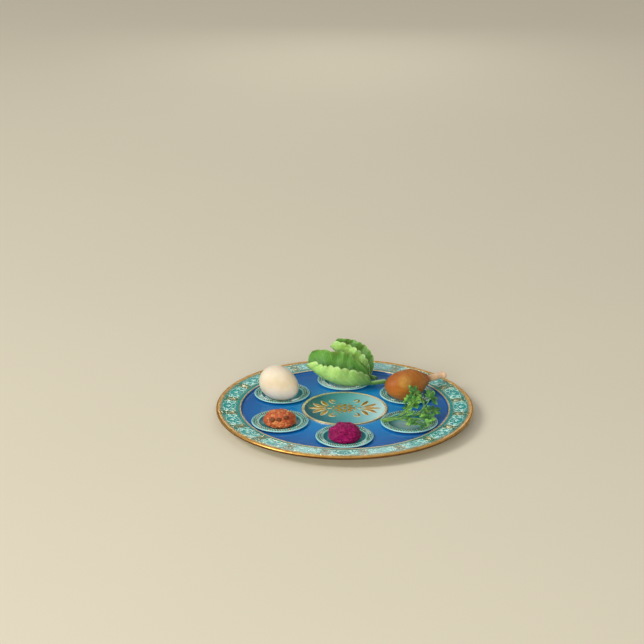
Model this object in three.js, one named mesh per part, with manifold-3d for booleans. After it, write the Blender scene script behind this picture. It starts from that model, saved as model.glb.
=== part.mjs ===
// Seder plate: a glazed porcelain plate with a gilt edge, six loose saucers that stand in seats
// round a central medallion, and the six foods that lie in the saucers.
// Millimetres, +Z up. The origin is the middle of the plate, level with the surface it stands on,
// and the horseradish saucer is nearest to the viewer, towards -Y.

import * as THREE from "three";
import { mergeVertices } from "three/addons/utils/BufferGeometryUtils.js";
import Module from "manifold-3d";

const wasm = await Module();
wasm.setup();

// Plate
const PLATE_RADIUS = 175;
const RIM_WIDTH = 34; // from the edge to the step down into the well
const RIM_THICKNESS = 4;
const RIM_RISE = 2.5; // the rim climbs this much on its way out
const EDGE_BEAD_RADIUS = 2.3; // the rounded gilt edge
const STEP_HEIGHT = 3; // from the well up to the rim
const STEP_RUN = 2.2; // how far the step's cove reaches into the well
const WELL_THICKNESS = 6.5;
const FOOT_HEIGHT = 4;
const FOOT_WIDTH = 6;
const FOOT_BEVEL = 0.8;
const OUTER_FOOT_RADIUS = 121; // to the middle of the ring
const INNER_FOOT_RADIUS = 44;
const MEDALLION_GAP = 2.7; // between the medallion and a saucer's edge
const MEDALLION_RISE = 1.2; // above the well
const GILT_LINE_WIDTH = 2.8;
const GILT_LINE_HEIGHT = 0.6;

// Saucers
const SAUCER_RADIUS = 38.3;
const SAUCER_EDGE_GAP = 0.5; // between a saucer's edge and the step
const SAUCER_HEIGHT = 6.7;
const SAUCER_WALL = 2;
const SAUCER_FOOT_RADIUS = 28.5;
const SAUCER_FOOT_WIDTH = 3.2;
const SAUCER_FOOT_RECESS = 0.8;
const SAUCER_LIP_WIDTH = 10.6; // the decorated lip, from the edge to the cove
const SAUCER_LIP_FALL = 1; // the lip slopes down this much on its way in
const SAUCER_COVE = 4.6; // the width of the cove between lip and floor
const SEAT_DEPTH = 3;
const SEAT_PLAY = 0.5; // between a saucer's foot and the wall of its seat

// What rests on a piece stays this far above it.
const REST_GAP = 0.3;

// Egg
const EGG_LENGTH = 58;
const EGG_WIDTH = 46;
const EGG_TAPER = 0.14; // how much slimmer the pointed half is
const EGG_YAW = 30; // degrees that the pointed end turns towards the viewer
const EGG_DIP = 15; // degrees that the pointed end dips
const EGG_PLACE = [-3, -19];

// Shank bone with its meat
const MEAT_LENGTH = 76;
const MEAT_RADIUS = 21.5;
const MEAT_NECK_RADIUS = 9;
const MEAT_WIDEST = 0.38; // the place of the widest part, as a share of the length
const MEAT_FLATTENING = 0.92;
const BONE_RADIUS = 4.4;
const BONE_LENGTH = 82;
const BONE_IN_MEAT = 44;
const KNUCKLE_RADIUS = 4.7;
const KNUCKLE_SPREAD = 2.3; // from the bone's axis to the middle of each knuckle
const SHANK_YAW = 46; // degrees from +X to the bone's direction
const SHANK_DIP = 5; // degrees that the bone slopes down
const SHANK_PLACE = [-6, -17]; // of the meat's widest part

// Lettuce
const LEAF_THICKNESS = 1.6;
const LEAF_RIB_RADIUS = 2.7;
const LEAF_RIB_TIP_RADIUS = 0.9;

// Parsley
const STEM_RADIUS = 1.2;
const LEAFLET_LENGTH = 9;
const LEAFLET_THICKNESS = 1.3;

// Charoset and horseradish
const CHAROSET_RADIUS = 22.8;
const CHAROSET_HEIGHT = 18.5;
const HORSERADISH_RADIUS = 23;
const HORSERADISH_HEIGHT = 20.5;
const MOUND_FOOT_SHARE = 0.84; // a mound's foot, as a share of its widest radius
const MOUND_WAIST = 0.26; // the height of the widest part, as a share of the mound's height
const NUT_LENGTH = 8;
const NUT_WIDTH = 5.6;
const NUT_HEIGHT = 4.6;

// Roundness of the turned pieces
const PLATE_SIDES = 64;
const SAUCER_SIDES = 28;
const FOOD_SIDES = 20;

const WELL_TOP = FOOT_HEIGHT + WELL_THICKNESS;
const WELL_RADIUS = PLATE_RADIUS - RIM_WIDTH;
const SEAT_FLOOR = WELL_TOP - SEAT_DEPTH;
const SEAT_RADIUS = SAUCER_FOOT_RADIUS + SEAT_PLAY;
const SAUCER_RING_RADIUS = WELL_RADIUS - STEP_RUN - SAUCER_EDGE_GAP - SAUCER_RADIUS;
const MEDALLION_RADIUS = SAUCER_RING_RADIUS - SAUCER_RADIUS - MEDALLION_GAP;
const SAUCER_LIP_INNER = SAUCER_RADIUS - SAUCER_LIP_WIDTH;
const SAUCER_FLOOR_RADIUS = SAUCER_LIP_INNER - SAUCER_COVE;

const WELD = 1e-4;
const TOUCH_VOLUME = 1e-3;

const GLAZE_ROUGHNESS = 0.15;
const finish = (color, roughness) => new THREE.MeshStandardMaterial({ color, roughness, metalness: 0 });
const plateGlaze = finish(0x2268b4, GLAZE_ROUGHNESS);
const saucerGlaze = finish(0x2a9199, GLAZE_ROUGHNESS);
const eggShell = finish(0xe6d3b1, 0.55);
const roastedMeat = finish(0xad6426, 0.45);
const boneSurface = finish(0xe2c19a, 0.5);
const innerLeaf = finish(0x86b756, 0.5);
const outerLeaf = finish(0x5a8a34, 0.5);
const herbLeaf = finish(0x4c8a3a, 0.55);
const fruitPaste = finish(0xb8653a, 0.6);
const nutMeat = finish(0x7a4313, 0.6);
const beetRoot = finish(0x8a0c50, 0.5);

const radians = THREE.MathUtils.degToRad;

// Closed solids

// A geometry as a solid, which joins and cuts.
function solidOf(geometry) {
  const bare = geometry.index ? geometry.toNonIndexed() : geometry.clone();
  bare.deleteAttribute("normal");
  bare.deleteAttribute("uv");
  const merged = mergeVertices(bare, WELD);
  return new wasm.Manifold(
    new wasm.Mesh({
      numProp: 3,
      vertProperties: merged.attributes.position.array,
      triVerts: new Uint32Array(merged.index.array),
    }),
  );
}

// A solid's surface as a geometry.
function geometryOf(solid) {
  const mesh = solid.getMesh();
  const corners = new Float32Array(mesh.numVert * 3);
  for (let i = 0; i < mesh.numVert; i++) {
    corners.set(mesh.vertProperties.subarray(i * mesh.numProp, i * mesh.numProp + 3), i * 3);
  }
  const geometry = new THREE.BufferGeometry();
  geometry.setAttribute("position", new THREE.BufferAttribute(corners, 3));
  geometry.setIndex(new THREE.BufferAttribute(mesh.triVerts, 1));
  geometry.computeVertexNormals();
  return geometry;
}

const joined = (geometries) => geometryOf(geometries.map(solidOf).reduce((all, one) => all.add(one)));

// A mesh as a solid where it stands in the part.
function placedSolid(mesh) {
  mesh.updateWorldMatrix(true, false);
  return solidOf(mesh.geometry.clone().applyMatrix4(mesh.matrixWorld));
}

// A profile of [radius, height] turned about the vertical.
function turned(profile, sides) {
  const points = profile.map(([radius, height]) => new THREE.Vector2(radius, height));
  return new THREE.LatheGeometry(points, sides).rotateX(Math.PI / 2);
}

// A closed surface from rings of points, with a point at each end.
function skin(first, rings, last) {
  const sides = rings[0].length;
  const points = [first, ...rings.flat(), last];
  const corners = [];
  const at = (ring, side) => 1 + ring * sides + (side % sides);
  for (let side = 0; side < sides; side++) {
    corners.push(0, at(0, side + 1), at(0, side));
    for (let ring = 0; ring + 1 < rings.length; ring++) {
      corners.push(at(ring, side), at(ring, side + 1), at(ring + 1, side));
      corners.push(at(ring, side + 1), at(ring + 1, side + 1), at(ring + 1, side));
    }
    corners.push(points.length - 1, at(rings.length - 1, side), at(rings.length - 1, side + 1));
  }
  const geometry = new THREE.BufferGeometry().setFromPoints(points);
  geometry.setIndex(corners);
  return geometry;
}

// A closed sheet between two grids of points. Seen from the upper side, with the rows running away,
// the columns go to the right.
function sheet(upper, lower) {
  const lastRow = upper.length - 1;
  const lastColumn = upper[0].length - 1;
  const corners = [];
  const top = (row, column) => row * (lastColumn + 1) + column;
  const bottom = (row, column) => top(lastRow + 1 + row, column);
  const quad = (a, b, c, d) => corners.push(a, b, c, a, c, d);
  for (let row = 0; row < lastRow; row++) {
    const next = row + 1;
    for (let column = 0; column < lastColumn; column++) {
      quad(top(row, column), top(row, column + 1), top(next, column + 1), top(next, column));
      quad(bottom(row, column), bottom(next, column), bottom(next, column + 1), bottom(row, column + 1));
    }
    quad(top(row, 0), top(next, 0), bottom(next, 0), bottom(row, 0));
    quad(top(next, lastColumn), top(row, lastColumn), bottom(row, lastColumn), bottom(next, lastColumn));
  }
  for (let column = 0; column < lastColumn; column++) {
    const next = column + 1;
    quad(top(0, next), top(0, column), bottom(0, column), bottom(0, next));
    quad(top(lastRow, column), top(lastRow, next), bottom(lastRow, next), bottom(lastRow, column));
  }
  const geometry = new THREE.BufferGeometry().setFromPoints([...upper.flat(), ...lower.flat()]);
  geometry.setIndex(corners);
  return geometry;
}

// A tube that follows a curve and tapers from one radius to another.
function stem(curve, startRadius, endRadius, steps, sides) {
  const frames = curve.computeFrenetFrames(steps, false);
  const rings = [];
  for (let step = 0; step <= steps; step++) {
    const centre = curve.getPointAt(step / steps);
    const radius = THREE.MathUtils.lerp(startRadius, endRadius, step / steps);
    rings.push(
      Array.from({ length: sides }, (_, side) => {
        const turn = (2 * Math.PI * side) / sides;
        return centre
          .clone()
          .addScaledVector(frames.normals[step], radius * Math.cos(turn))
          .addScaledVector(frames.binormals[step], radius * Math.sin(turn));
      }),
    );
  }
  return skin(curve.getPointAt(0), rings, curve.getPointAt(1));
}

// Lowers a mesh until it is REST_GAP above the first of the meshes under it.
function lowerOnto(mesh, supports) {
  const under = supports.map(placedSolid);
  const clearAt = (height) => {
    mesh.position.z = height;
    const solid = placedSolid(mesh);
    return under.every((support) => support.intersect(solid).volume() < TOUCH_VOLUME);
  };
  const top = Math.max(...supports.map((support) => new THREE.Box3().setFromObject(support, true).max.z));
  const bottom = new THREE.Box3().setFromObject(mesh, true).min.z;
  let clear = mesh.position.z + top - bottom;
  const stride = 1.5;
  while (clearAt(clear - stride)) clear -= stride;
  let touching = clear - stride;
  for (let halving = 0; halving < 8; halving++) {
    const middle = (clear + touching) / 2;
    if (clearAt(middle)) clear = middle;
    else touching = middle;
  }
  mesh.position.z = clear + REST_GAP;
}

function addPiece(group, name, geometry, material) {
  const mesh = new THREE.Mesh(geometry, material);
  mesh.name = name;
  group.add(mesh);
  return mesh;
}

// Plate and saucers

const rimTop = (radius) => WELL_TOP + STEP_HEIGHT + (RIM_RISE * (radius - WELL_RADIUS)) / RIM_WIDTH;

const footRing = (radius) => [
  [radius - FOOT_WIDTH / 2, FOOT_HEIGHT],
  [radius - FOOT_WIDTH / 2 + FOOT_BEVEL, 0],
  [radius + FOOT_WIDTH / 2 - FOOT_BEVEL, 0],
  [radius + FOOT_WIDTH / 2, FOOT_HEIGHT],
];

// A raised gilt line, from the foot of its outer side to the foot of its inner side.
const giltLine = (radius, outerBase, innerBase) => [
  [radius, outerBase],
  [radius - GILT_LINE_HEIGHT, innerBase + GILT_LINE_HEIGHT],
  [radius - GILT_LINE_WIDTH + GILT_LINE_HEIGHT, innerBase + GILT_LINE_HEIGHT],
  [radius - GILT_LINE_WIDTH, innerBase],
];

// The rounded edge, from the rim's underside up to its top.
function edgeBead() {
  const middle = PLATE_RADIUS - EDGE_BEAD_RADIUS;
  const height = rimTop(middle) - RIM_THICKNESS / 2;
  const steps = 6;
  return Array.from({ length: steps + 1 }, (_, step) => {
    const turn = radians(-110 + (220 * step) / steps);
    return [middle + EDGE_BEAD_RADIUS * Math.cos(turn), height + EDGE_BEAD_RADIUS * Math.sin(turn)];
  });
}

function plateGeometry() {
  const shoulder = OUTER_FOOT_RADIUS + FOOT_WIDTH;
  const rimInner = WELL_RADIUS + GILT_LINE_WIDTH;
  const beadInner = PLATE_RADIUS - 2 * EDGE_BEAD_RADIUS;
  const profile = [
    [0, FOOT_HEIGHT],
    ...footRing(INNER_FOOT_RADIUS),
    ...footRing(OUTER_FOOT_RADIUS),
    [shoulder, FOOT_HEIGHT],
    [WELL_RADIUS, rimTop(WELL_RADIUS) - RIM_THICKNESS - STEP_HEIGHT / 2],
    [WELL_RADIUS + RIM_WIDTH / 4, rimTop(WELL_RADIUS + RIM_WIDTH / 4) - RIM_THICKNESS],
    [beadInner, rimTop(beadInner) - RIM_THICKNESS],
    ...edgeBead(),
    [beadInner, rimTop(beadInner)],
    ...giltLine(rimInner, rimTop(rimInner), rimTop(WELL_RADIUS)),
    [WELL_RADIUS - STEP_RUN / 3, WELL_TOP + STEP_HEIGHT / 3],
    [WELL_RADIUS - STEP_RUN, WELL_TOP],
    ...giltLine(MEDALLION_RADIUS, WELL_TOP, WELL_TOP + MEDALLION_RISE),
    [0, WELL_TOP + MEDALLION_RISE],
  ];
  const seat = new THREE.CylinderGeometry(SEAT_RADIUS, SEAT_RADIUS, 2 * SEAT_DEPTH, SAUCER_SIDES);
  seat.rotateX(Math.PI / 2);
  const seats = SETTINGS.map(({ angle }) => {
    const [x, y] = saucerMiddle(angle);
    return solidOf(seat.clone().translate(x, y, WELL_TOP));
  });
  return geometryOf(seats.reduce((plate, one) => plate.subtract(one), solidOf(turned(profile, PLATE_SIDES))));
}

function saucerGeometry() {
  const lipInnerTop = SAUCER_HEIGHT - SAUCER_LIP_FALL;
  const edge = SAUCER_WALL / 2;
  return turned(
    [
      [0, SAUCER_FOOT_RECESS],
      [SAUCER_FOOT_RADIUS - SAUCER_FOOT_WIDTH, SAUCER_FOOT_RECESS],
      [SAUCER_FOOT_RADIUS - SAUCER_FOOT_WIDTH + SAUCER_FOOT_RECESS, 0],
      [SAUCER_FOOT_RADIUS, 0],
      [SAUCER_FOOT_RADIUS, SEAT_DEPTH + REST_GAP],
      [SAUCER_RADIUS - edge, SAUCER_HEIGHT - SAUCER_WALL],
      [SAUCER_RADIUS, SAUCER_HEIGHT - edge],
      [SAUCER_RADIUS - edge / 2, SAUCER_HEIGHT - edge / 6],
      [SAUCER_RADIUS - 2 * edge, SAUCER_HEIGHT],
      [SAUCER_LIP_INNER, lipInnerTop],
      [SAUCER_LIP_INNER - SAUCER_COVE / 3, (lipInnerTop + SAUCER_WALL) / 2],
      [SAUCER_FLOOR_RADIUS, SAUCER_WALL + edge / 8],
      [0, SAUCER_WALL],
    ],
    SAUCER_SIDES,
  );
}

// Egg

function addEgg(setting, saucer) {
  const steps = 14;
  const half = EGG_LENGTH / 2;
  const profile = Array.from({ length: steps + 1 }, (_, step) => {
    const along = -Math.cos((Math.PI * step) / steps);
    const radius = (EGG_WIDTH / 2) * Math.sqrt(1 - along * along) * (1 - EGG_TAPER * along);
    return [Math.max(radius, 0), half * along];
  });
  const egg = addPiece(setting, "egg", turned(profile, FOOD_SIDES), eggShell);
  egg.rotation.set(0, radians(90 + EGG_DIP), radians(-EGG_YAW), "ZYX");
  egg.position.set(...EGG_PLACE, 0);
  lowerOnto(egg, [saucer]);
}

// Shank

// Meat along +X from its thick end, with uneven muscle, and bored for the bone.
function meatGeometry() {
  const steps = 12;
  const rings = [];
  for (let step = 1; step < steps; step++) {
    const along = step / steps;
    const thickEnd = MEAT_RADIUS * Math.sqrt(1 - Math.max(0, 1 - along / MEAT_WIDEST) ** 2);
    const towardsNeck = Math.max(0, (along - MEAT_WIDEST) / (1 - MEAT_WIDEST));
    const slimming = ((MEAT_RADIUS - MEAT_NECK_RADIUS) * (1 - Math.cos(Math.PI * towardsNeck))) / 2;
    rings.push(
      Array.from({ length: FOOD_SIDES }, (_, side) => {
        const turn = (2 * Math.PI * side) / FOOD_SIDES;
        const muscle = 1 + 0.035 * Math.cos(3 * turn + 2 * along) + 0.02 * Math.cos(2 * turn - 5 * along);
        const radius = (thickEnd - slimming) * muscle;
        return new THREE.Vector3(
          along * MEAT_LENGTH,
          radius * Math.cos(turn),
          radius * MEAT_FLATTENING * Math.sin(turn),
        );
      }),
    );
  }
  const meat = skin(new THREE.Vector3(0, 0, 0), rings, new THREE.Vector3(MEAT_LENGTH, 0, 0));
  const boreRadius = BONE_RADIUS + REST_GAP;
  const boreLength = BONE_IN_MEAT + REST_GAP + MEAT_NECK_RADIUS;
  const bore = new THREE.CylinderGeometry(boreRadius, boreRadius, boreLength, FOOD_SIDES);
  bore.rotateZ(-Math.PI / 2);
  bore.translate(MEAT_LENGTH + MEAT_NECK_RADIUS - boreLength / 2, 0, 0);
  return geometryOf(solidOf(meat).subtract(solidOf(bore)));
}

// Bone along +X from its end in the meat, with two knuckles at the bare end.
function boneGeometry() {
  const waist = BONE_RADIUS * 0.82;
  const shaftEnd = BONE_LENGTH - KNUCKLE_RADIUS;
  const shaft = turned(
    [
      [0, 0],
      [BONE_RADIUS * 0.8, 0],
      [BONE_RADIUS, BONE_RADIUS / 3],
      [waist, BONE_LENGTH * 0.6],
      [waist * 1.05, BONE_LENGTH * 0.75],
      [BONE_RADIUS * 1.1, shaftEnd - KNUCKLE_RADIUS / 2],
      [BONE_RADIUS, shaftEnd + KNUCKLE_RADIUS / 2],
      [0, shaftEnd + KNUCKLE_RADIUS / 2],
    ],
    12,
  ).rotateY(Math.PI / 2);
  const knuckle = new THREE.SphereGeometry(KNUCKLE_RADIUS, 12, 8);
  return joined([
    shaft,
    knuckle.clone().translate(shaftEnd, KNUCKLE_SPREAD, 0),
    knuckle.clone().translate(shaftEnd, -KNUCKLE_SPREAD, 0),
  ]);
}

function addShank(setting, saucer) {
  const meat = addPiece(setting, "shank_meat", meatGeometry(), roastedMeat);
  meat.rotation.set(0, radians(SHANK_DIP), radians(SHANK_YAW), "ZYX");
  const widest = new THREE.Vector3(MEAT_LENGTH * MEAT_WIDEST, 0, 0).applyEuler(meat.rotation);
  meat.position.set(SHANK_PLACE[0] - widest.x, SHANK_PLACE[1] - widest.y, 0);
  lowerOnto(meat, [saucer, plate]);
  const bone = addPiece(setting, "shank_bone", boneGeometry(), boneSurface);
  bone.rotation.copy(meat.rotation);
  const boneStart = new THREE.Vector3(MEAT_LENGTH - BONE_IN_MEAT, 0, 0);
  bone.position.copy(meat.position).add(boneStart.applyEuler(meat.rotation));
}

// Lettuce

// A leaf folded along its rib like a boat. The rib is a curve from the cut end to the tip, "up" is
// the side that the leaf opens to, and each half of the blade leaves the rib at one angle from "up"
// and ends at another, with ruffles that grow towards its edge.
function leafGeometry({ rib, up, width, stalk, near, far, ruffle, ruffles }) {
  const curve = new THREE.CatmullRomCurve3(rib.map((point) => new THREE.Vector3(...point)));
  const along = 22;
  const across = 5;
  const inside = [];
  const outside = [];
  for (let i = 0; i <= along; i++) {
    const place = i / along;
    const share = Math.max(0, (place - stalk) / (1 - stalk));
    const middle = curve.getPointAt(place);
    const forward = curve.getTangentAt(place);
    const opening = new THREE.Vector3(...up);
    opening.addScaledVector(forward, -forward.dot(opening)).normalize();
    const aside = new THREE.Vector3().crossVectors(forward, opening);
    const reach = (width / 2) * Math.sin(Math.PI * (0.93 * share) ** 0.85) ** 0.5;
    const scallop = 1 + 0.05 * Math.abs(Math.sin(ruffles * Math.PI * share));
    const ribRadius = THREE.MathUtils.lerp(LEAF_RIB_RADIUS, LEAF_RIB_TIP_RADIUS, place);
    const half = (side, { from, to, share: part }) => {
      const point = middle.clone();
      return Array.from({ length: across }, (_, j) => {
        const out = (j + 1) / across;
        const angle = radians(THREE.MathUtils.lerp(from, to, out - 0.5 / across));
        const stride = Math.max(reach * part * scallop, ribRadius) / across;
        point.addScaledVector(aside, side * stride * Math.sin(angle));
        point.addScaledVector(opening, stride * Math.cos(angle));
        const facing = opening.clone().multiplyScalar(Math.sin(angle)).addScaledVector(aside, -side * Math.cos(angle));
        const wave = ruffle * Math.min(1, 3 * share) * out ** 2 * Math.sin(ruffles * Math.PI * share + side);
        const bulge = ribRadius * Math.max(0, 1 - (3 * out * reach) / width);
        const above = share > 0 ? LEAF_THICKNESS / 2 : ribRadius * 0.7;
        return {
          top: point.clone().addScaledVector(facing, wave + above),
          bottom: point.clone().addScaledVector(facing, wave - LEAF_THICKNESS / 2 - bulge),
        };
      });
    };
    const crest = {
      top: middle.clone().addScaledVector(opening, share > 0 ? LEAF_THICKNESS / 2 : ribRadius),
      bottom: middle.clone().addScaledVector(opening, -LEAF_THICKNESS / 2 - ribRadius),
    };
    const section = [...half(-1, near).reverse(), crest, ...half(1, far)];
    inside.push(section.map(({ top }) => top));
    outside.push(section.map(({ bottom }) => bottom));
  }
  return sheet(inside, outside);
}

// The leaves lie with their cut ends to the right, the inner leaf in front of the outer one.
const OUTER_LEAF = {
  rib: [
    [44, -4, 8],
    [31, 5, 10],
    [12, 14, 21],
    [-6, 20, 34],
    [-20, 25, 46],
  ],
  up: [0.62, -0.1, 0.78],
  width: 60,
  stalk: 0.14,
  near: { from: 55, to: -25, share: 0.85 },
  far: { from: 60, to: 15, share: 1.1 },
  ruffle: 2.2,
  ruffles: 7,
};
const INNER_LEAF = {
  rib: [
    [57, -15, 8],
    [34, -23, 8],
    [4, -29, 9],
    [-26, -22, 15],
    [-50, -6, 27],
  ],
  up: [0, 0, 1],
  width: 70,
  stalk: 0.19,
  near: { from: 75, to: -20, share: 0.85 },
  far: { from: 65, to: 5, share: 1.2 },
  ruffle: 2.2,
  ruffles: 8,
};

function addLettuce(setting, saucer) {
  const outer = addPiece(setting, "lettuce_outer_leaf", leafGeometry(OUTER_LEAF), outerLeaf);
  lowerOnto(outer, [saucer, plate]);
  const inner = addPiece(setting, "lettuce_inner_leaf", leafGeometry(INNER_LEAF), innerLeaf);
  lowerOnto(inner, [saucer, plate, outer]);
}

// Parsley

// Half of a three-lobed leaf's outline, for a leaf one unit long, from the stalk to the tip.
const LEAF_LOBES = [
  [0, 0.07],
  [0.12, 0.42],
  [0.02, 0.76],
  [0.3, 0.86],
  [0.5, 0.62],
  [0.44, 0.3],
  [0.72, 0.42],
  [0.98, 0.26],
];
const LEAF_OUTLINE = [...LEAF_LOBES.map(([x, y]) => [x, -y]), [1.08, 0], ...LEAF_LOBES.toReversed()];
const LEAF_DROOP = 0.35; // how far the side lobes hang, as a share of the leaf's length
const LEAVES_FACE = new THREE.Vector3(0, -0.5, 0.87); // up, and a little towards the viewer

function parsleyLeaf(tip, direction, length) {
  const outline = new THREE.Shape(LEAF_OUTLINE.map(([x, y]) => new THREE.Vector2(x * length, y * length)));
  const leaf = new THREE.ExtrudeGeometry(outline, { depth: LEAFLET_THICKNESS, bevelEnabled: false });
  leaf.translate(-STEM_RADIUS, 0, -LEAFLET_THICKNESS / 2);
  const corners = leaf.attributes.position;
  for (let i = 0; i < corners.count; i++) {
    corners.setZ(i, corners.getZ(i) - (LEAF_DROOP * corners.getY(i) ** 2) / length);
  }
  const across = LEAVES_FACE.clone().cross(direction).normalize();
  const facing = new THREE.Vector3().crossVectors(direction, across);
  return leaf.applyMatrix4(new THREE.Matrix4().makeBasis(direction, across, facing).setPosition(tip));
}

// A sprig is a list of stalks, each with its points and the size of the leaf at its end.
function sprigGeometry(stalks) {
  return joined(
    stalks.flatMap(({ points, size }) => {
      const curve = new THREE.CatmullRomCurve3(points.map((point) => new THREE.Vector3(...point)));
      return [
        stem(curve, STEM_RADIUS, STEM_RADIUS * 0.75, 2 * points.length - 2, 5),
        parsleyLeaf(curve.getPointAt(1), curve.getTangentAt(1), size * LEAFLET_LENGTH),
      ];
    }),
  );
}

// From the viewer's side to the back. Each sprig's first stalk runs its whole length.
const PARSLEY_SPRIGS = {
  parsley_sprig_low: [
    { points: [[-39, -13, 8], [-20, -11, 9], [-2, -12, 10], [12, -21, 10], [19, -29, 10.5]], size: 1.1 },
    { points: [[-20, -11, 9], [-8, -17, 9], [-1, -25, 10.5]], size: 0.95 },
    { points: [[-2, -12, 10], [5, -22, 10], [9, -29, 10.5]], size: 1 },
    { points: [[-2, -12, 10], [12, -15, 10], [24, -18, 11]], size: 1.1 },
  ],
  parsley_sprig_side: [
    { points: [[-35, -6, 8], [-14, -4, 11], [6, 1, 14], [20, 13, 21], [29, 26, 29]], size: 1.4 },
    { points: [[6, 1, 14], [20, 7, 15], [31, 15, 16]], size: 1.35 },
    { points: [[6, 1, 14], [14, -1, 17], [21, -2, 18]], size: 1.15 },
    { points: [[20, 13, 21], [20, 19, 24], [18, 25, 27]], size: 0.9 },
    { points: [[-14, -4, 11], [-7, -3, 15], [-1, -2, 18]], size: 0.8 },
  ],
  parsley_sprig_tall: [
    { points: [[-34, 2, 8], [-14, 4, 11], [-1, 11, 17], [5, 23, 26], [8, 33, 33]], size: 1.3 },
    { points: [[-1, 11, 17], [-4, 20, 23], [-4, 27, 28]], size: 1.25 },
    { points: [[-14, 4, 11], [-9, 12, 16], [-7, 19, 20]], size: 1 },
    { points: [[-1, 11, 17], [3, 14, 22], [7, 16, 26]], size: 1.05 },
  ],
};

function addParsley(setting, saucer) {
  const below = [saucer, plate];
  for (const [name, stalks] of Object.entries(PARSLEY_SPRIGS)) {
    const sprig = addPiece(setting, name, sprigGeometry(stalks), herbLeaf);
    lowerOnto(sprig, below);
    below.push(sprig);
  }
}

// Charoset and horseradish

// A point on a spooned heap that stands on z = 0. The sides bulge over the foot and are lumpy.
function moundPoint({ radius, height, lumps, twist }, turn, level) {
  const low = THREE.MathUtils.lerp(MOUND_FOOT_SHARE, 1, Math.sqrt(Math.min(1, level / MOUND_WAIST)));
  const dome = Math.sqrt(1 - (Math.max(0, level - MOUND_WAIST) / (1.04 - MOUND_WAIST)) ** 2);
  const lump = 1 - lumps * level * (0.5 + 0.5 * Math.sin(5 * turn + twist * level));
  const reach = radius * low * dome * lump;
  return new THREE.Vector3(reach * Math.cos(turn), reach * Math.sin(turn), height * level);
}

function moundGeometry(shape) {
  const levels = [0, 0.1, MOUND_WAIST, 0.42, 0.58, 0.74, 0.88];
  const rings = levels.map((level) =>
    Array.from({ length: FOOD_SIDES }, (_, side) => moundPoint(shape, (2 * Math.PI * side) / FOOD_SIDES, level)),
  );
  return skin(new THREE.Vector3(0, 0, 0), rings, new THREE.Vector3(shape.lean, 0, shape.height));
}

// Nut pieces are pressed into the paste up to their middles.
function addCharoset(setting, saucer) {
  const shape = { radius: CHAROSET_RADIUS, height: CHAROSET_HEIGHT, lumps: 0.16, twist: 6, lean: -2 };
  const paste = addPiece(setting, "charoset_mound", moundGeometry(shape), fruitPaste);
  lowerOnto(paste, [saucer]);
  const nuts = [
    { name: "charoset_nut_left", turn: -122, level: 0.66 },
    { name: "charoset_nut_middle", turn: -92, level: 0.7 },
    { name: "charoset_nut_right", turn: -58, level: 0.78 },
  ];
  let heap = solidOf(paste.geometry);
  for (const { name, turn, level } of nuts) {
    const nutAt = (gap) => {
      const nut = new THREE.IcosahedronGeometry(0.5, 1);
      nut.scale(NUT_HEIGHT + 2 * gap, NUT_LENGTH + 2 * gap, NUT_WIDTH + 2 * gap);
      nut.rotateY(radians(-90 * level));
      nut.rotateZ(radians(turn));
      const middle = moundPoint(shape, radians(turn), level);
      return nut.translate(middle.x, middle.y, middle.z);
    };
    heap = heap.subtract(solidOf(nutAt(REST_GAP)));
    addPiece(setting, name, nutAt(0), nutMeat).position.copy(paste.position);
  }
  paste.geometry = geometryOf(heap);
}

function addHorseradish(setting, saucer) {
  const shape = { radius: HORSERADISH_RADIUS, height: HORSERADISH_HEIGHT, lumps: 0.24, twist: -7, lean: -2 };
  const heap = addPiece(setting, "horseradish_mound", moundGeometry(shape), beetRoot);
  lowerOnto(heap, [saucer]);
}

// Each saucer's place round the plate, in degrees from +X, and what it holds.
const SETTINGS = [
  { name: "saucer_lettuce", angle: 90, fill: addLettuce },
  { name: "saucer_egg", angle: 150, fill: addEgg },
  { name: "saucer_charoset", angle: 210, fill: addCharoset },
  { name: "saucer_horseradish", angle: 270, fill: addHorseradish },
  { name: "saucer_parsley", angle: 330, fill: addParsley },
  { name: "saucer_shank", angle: 30, fill: addShank },
];

function saucerMiddle(angle) {
  return [SAUCER_RING_RADIUS * Math.cos(radians(angle)), SAUCER_RING_RADIUS * Math.sin(radians(angle))];
}

const sederPlate = new THREE.Group();
const plate = addPiece(sederPlate, "plate", plateGeometry(), plateGlaze);
for (const { name, angle, fill } of SETTINGS) {
  const setting = new THREE.Group();
  setting.position.set(...saucerMiddle(angle), SEAT_FLOOR + REST_GAP);
  sederPlate.add(setting);
  fill(setting, addPiece(setting, name, saucerGeometry(), saucerGlaze));
}

export default sederPlate;
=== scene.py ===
import random
from functools import partial
from math import cos, degrees, hypot, pi, radians, sin, sqrt, tau

import bpy
from mathutils import Matrix, Vector, noise


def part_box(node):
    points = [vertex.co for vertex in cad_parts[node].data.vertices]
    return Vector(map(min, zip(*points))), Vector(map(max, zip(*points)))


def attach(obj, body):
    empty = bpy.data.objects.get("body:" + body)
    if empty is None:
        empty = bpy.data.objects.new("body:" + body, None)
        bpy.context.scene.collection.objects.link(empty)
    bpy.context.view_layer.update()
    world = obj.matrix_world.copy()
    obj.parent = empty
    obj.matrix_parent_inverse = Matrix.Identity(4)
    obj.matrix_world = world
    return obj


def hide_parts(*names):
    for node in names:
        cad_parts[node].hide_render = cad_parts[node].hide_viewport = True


bl_info = {
    "name": "Seder Plate",
    "version": (1, 0, 0),
    "blender": (4, 5, 0),
    "location": "3D View > Sidebar > Seder Plate",
    "description": "Dresses the CAD frame of a seder plate with glazed porcelain, gilding and foods",
    "category": "Add Mesh",
}

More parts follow.
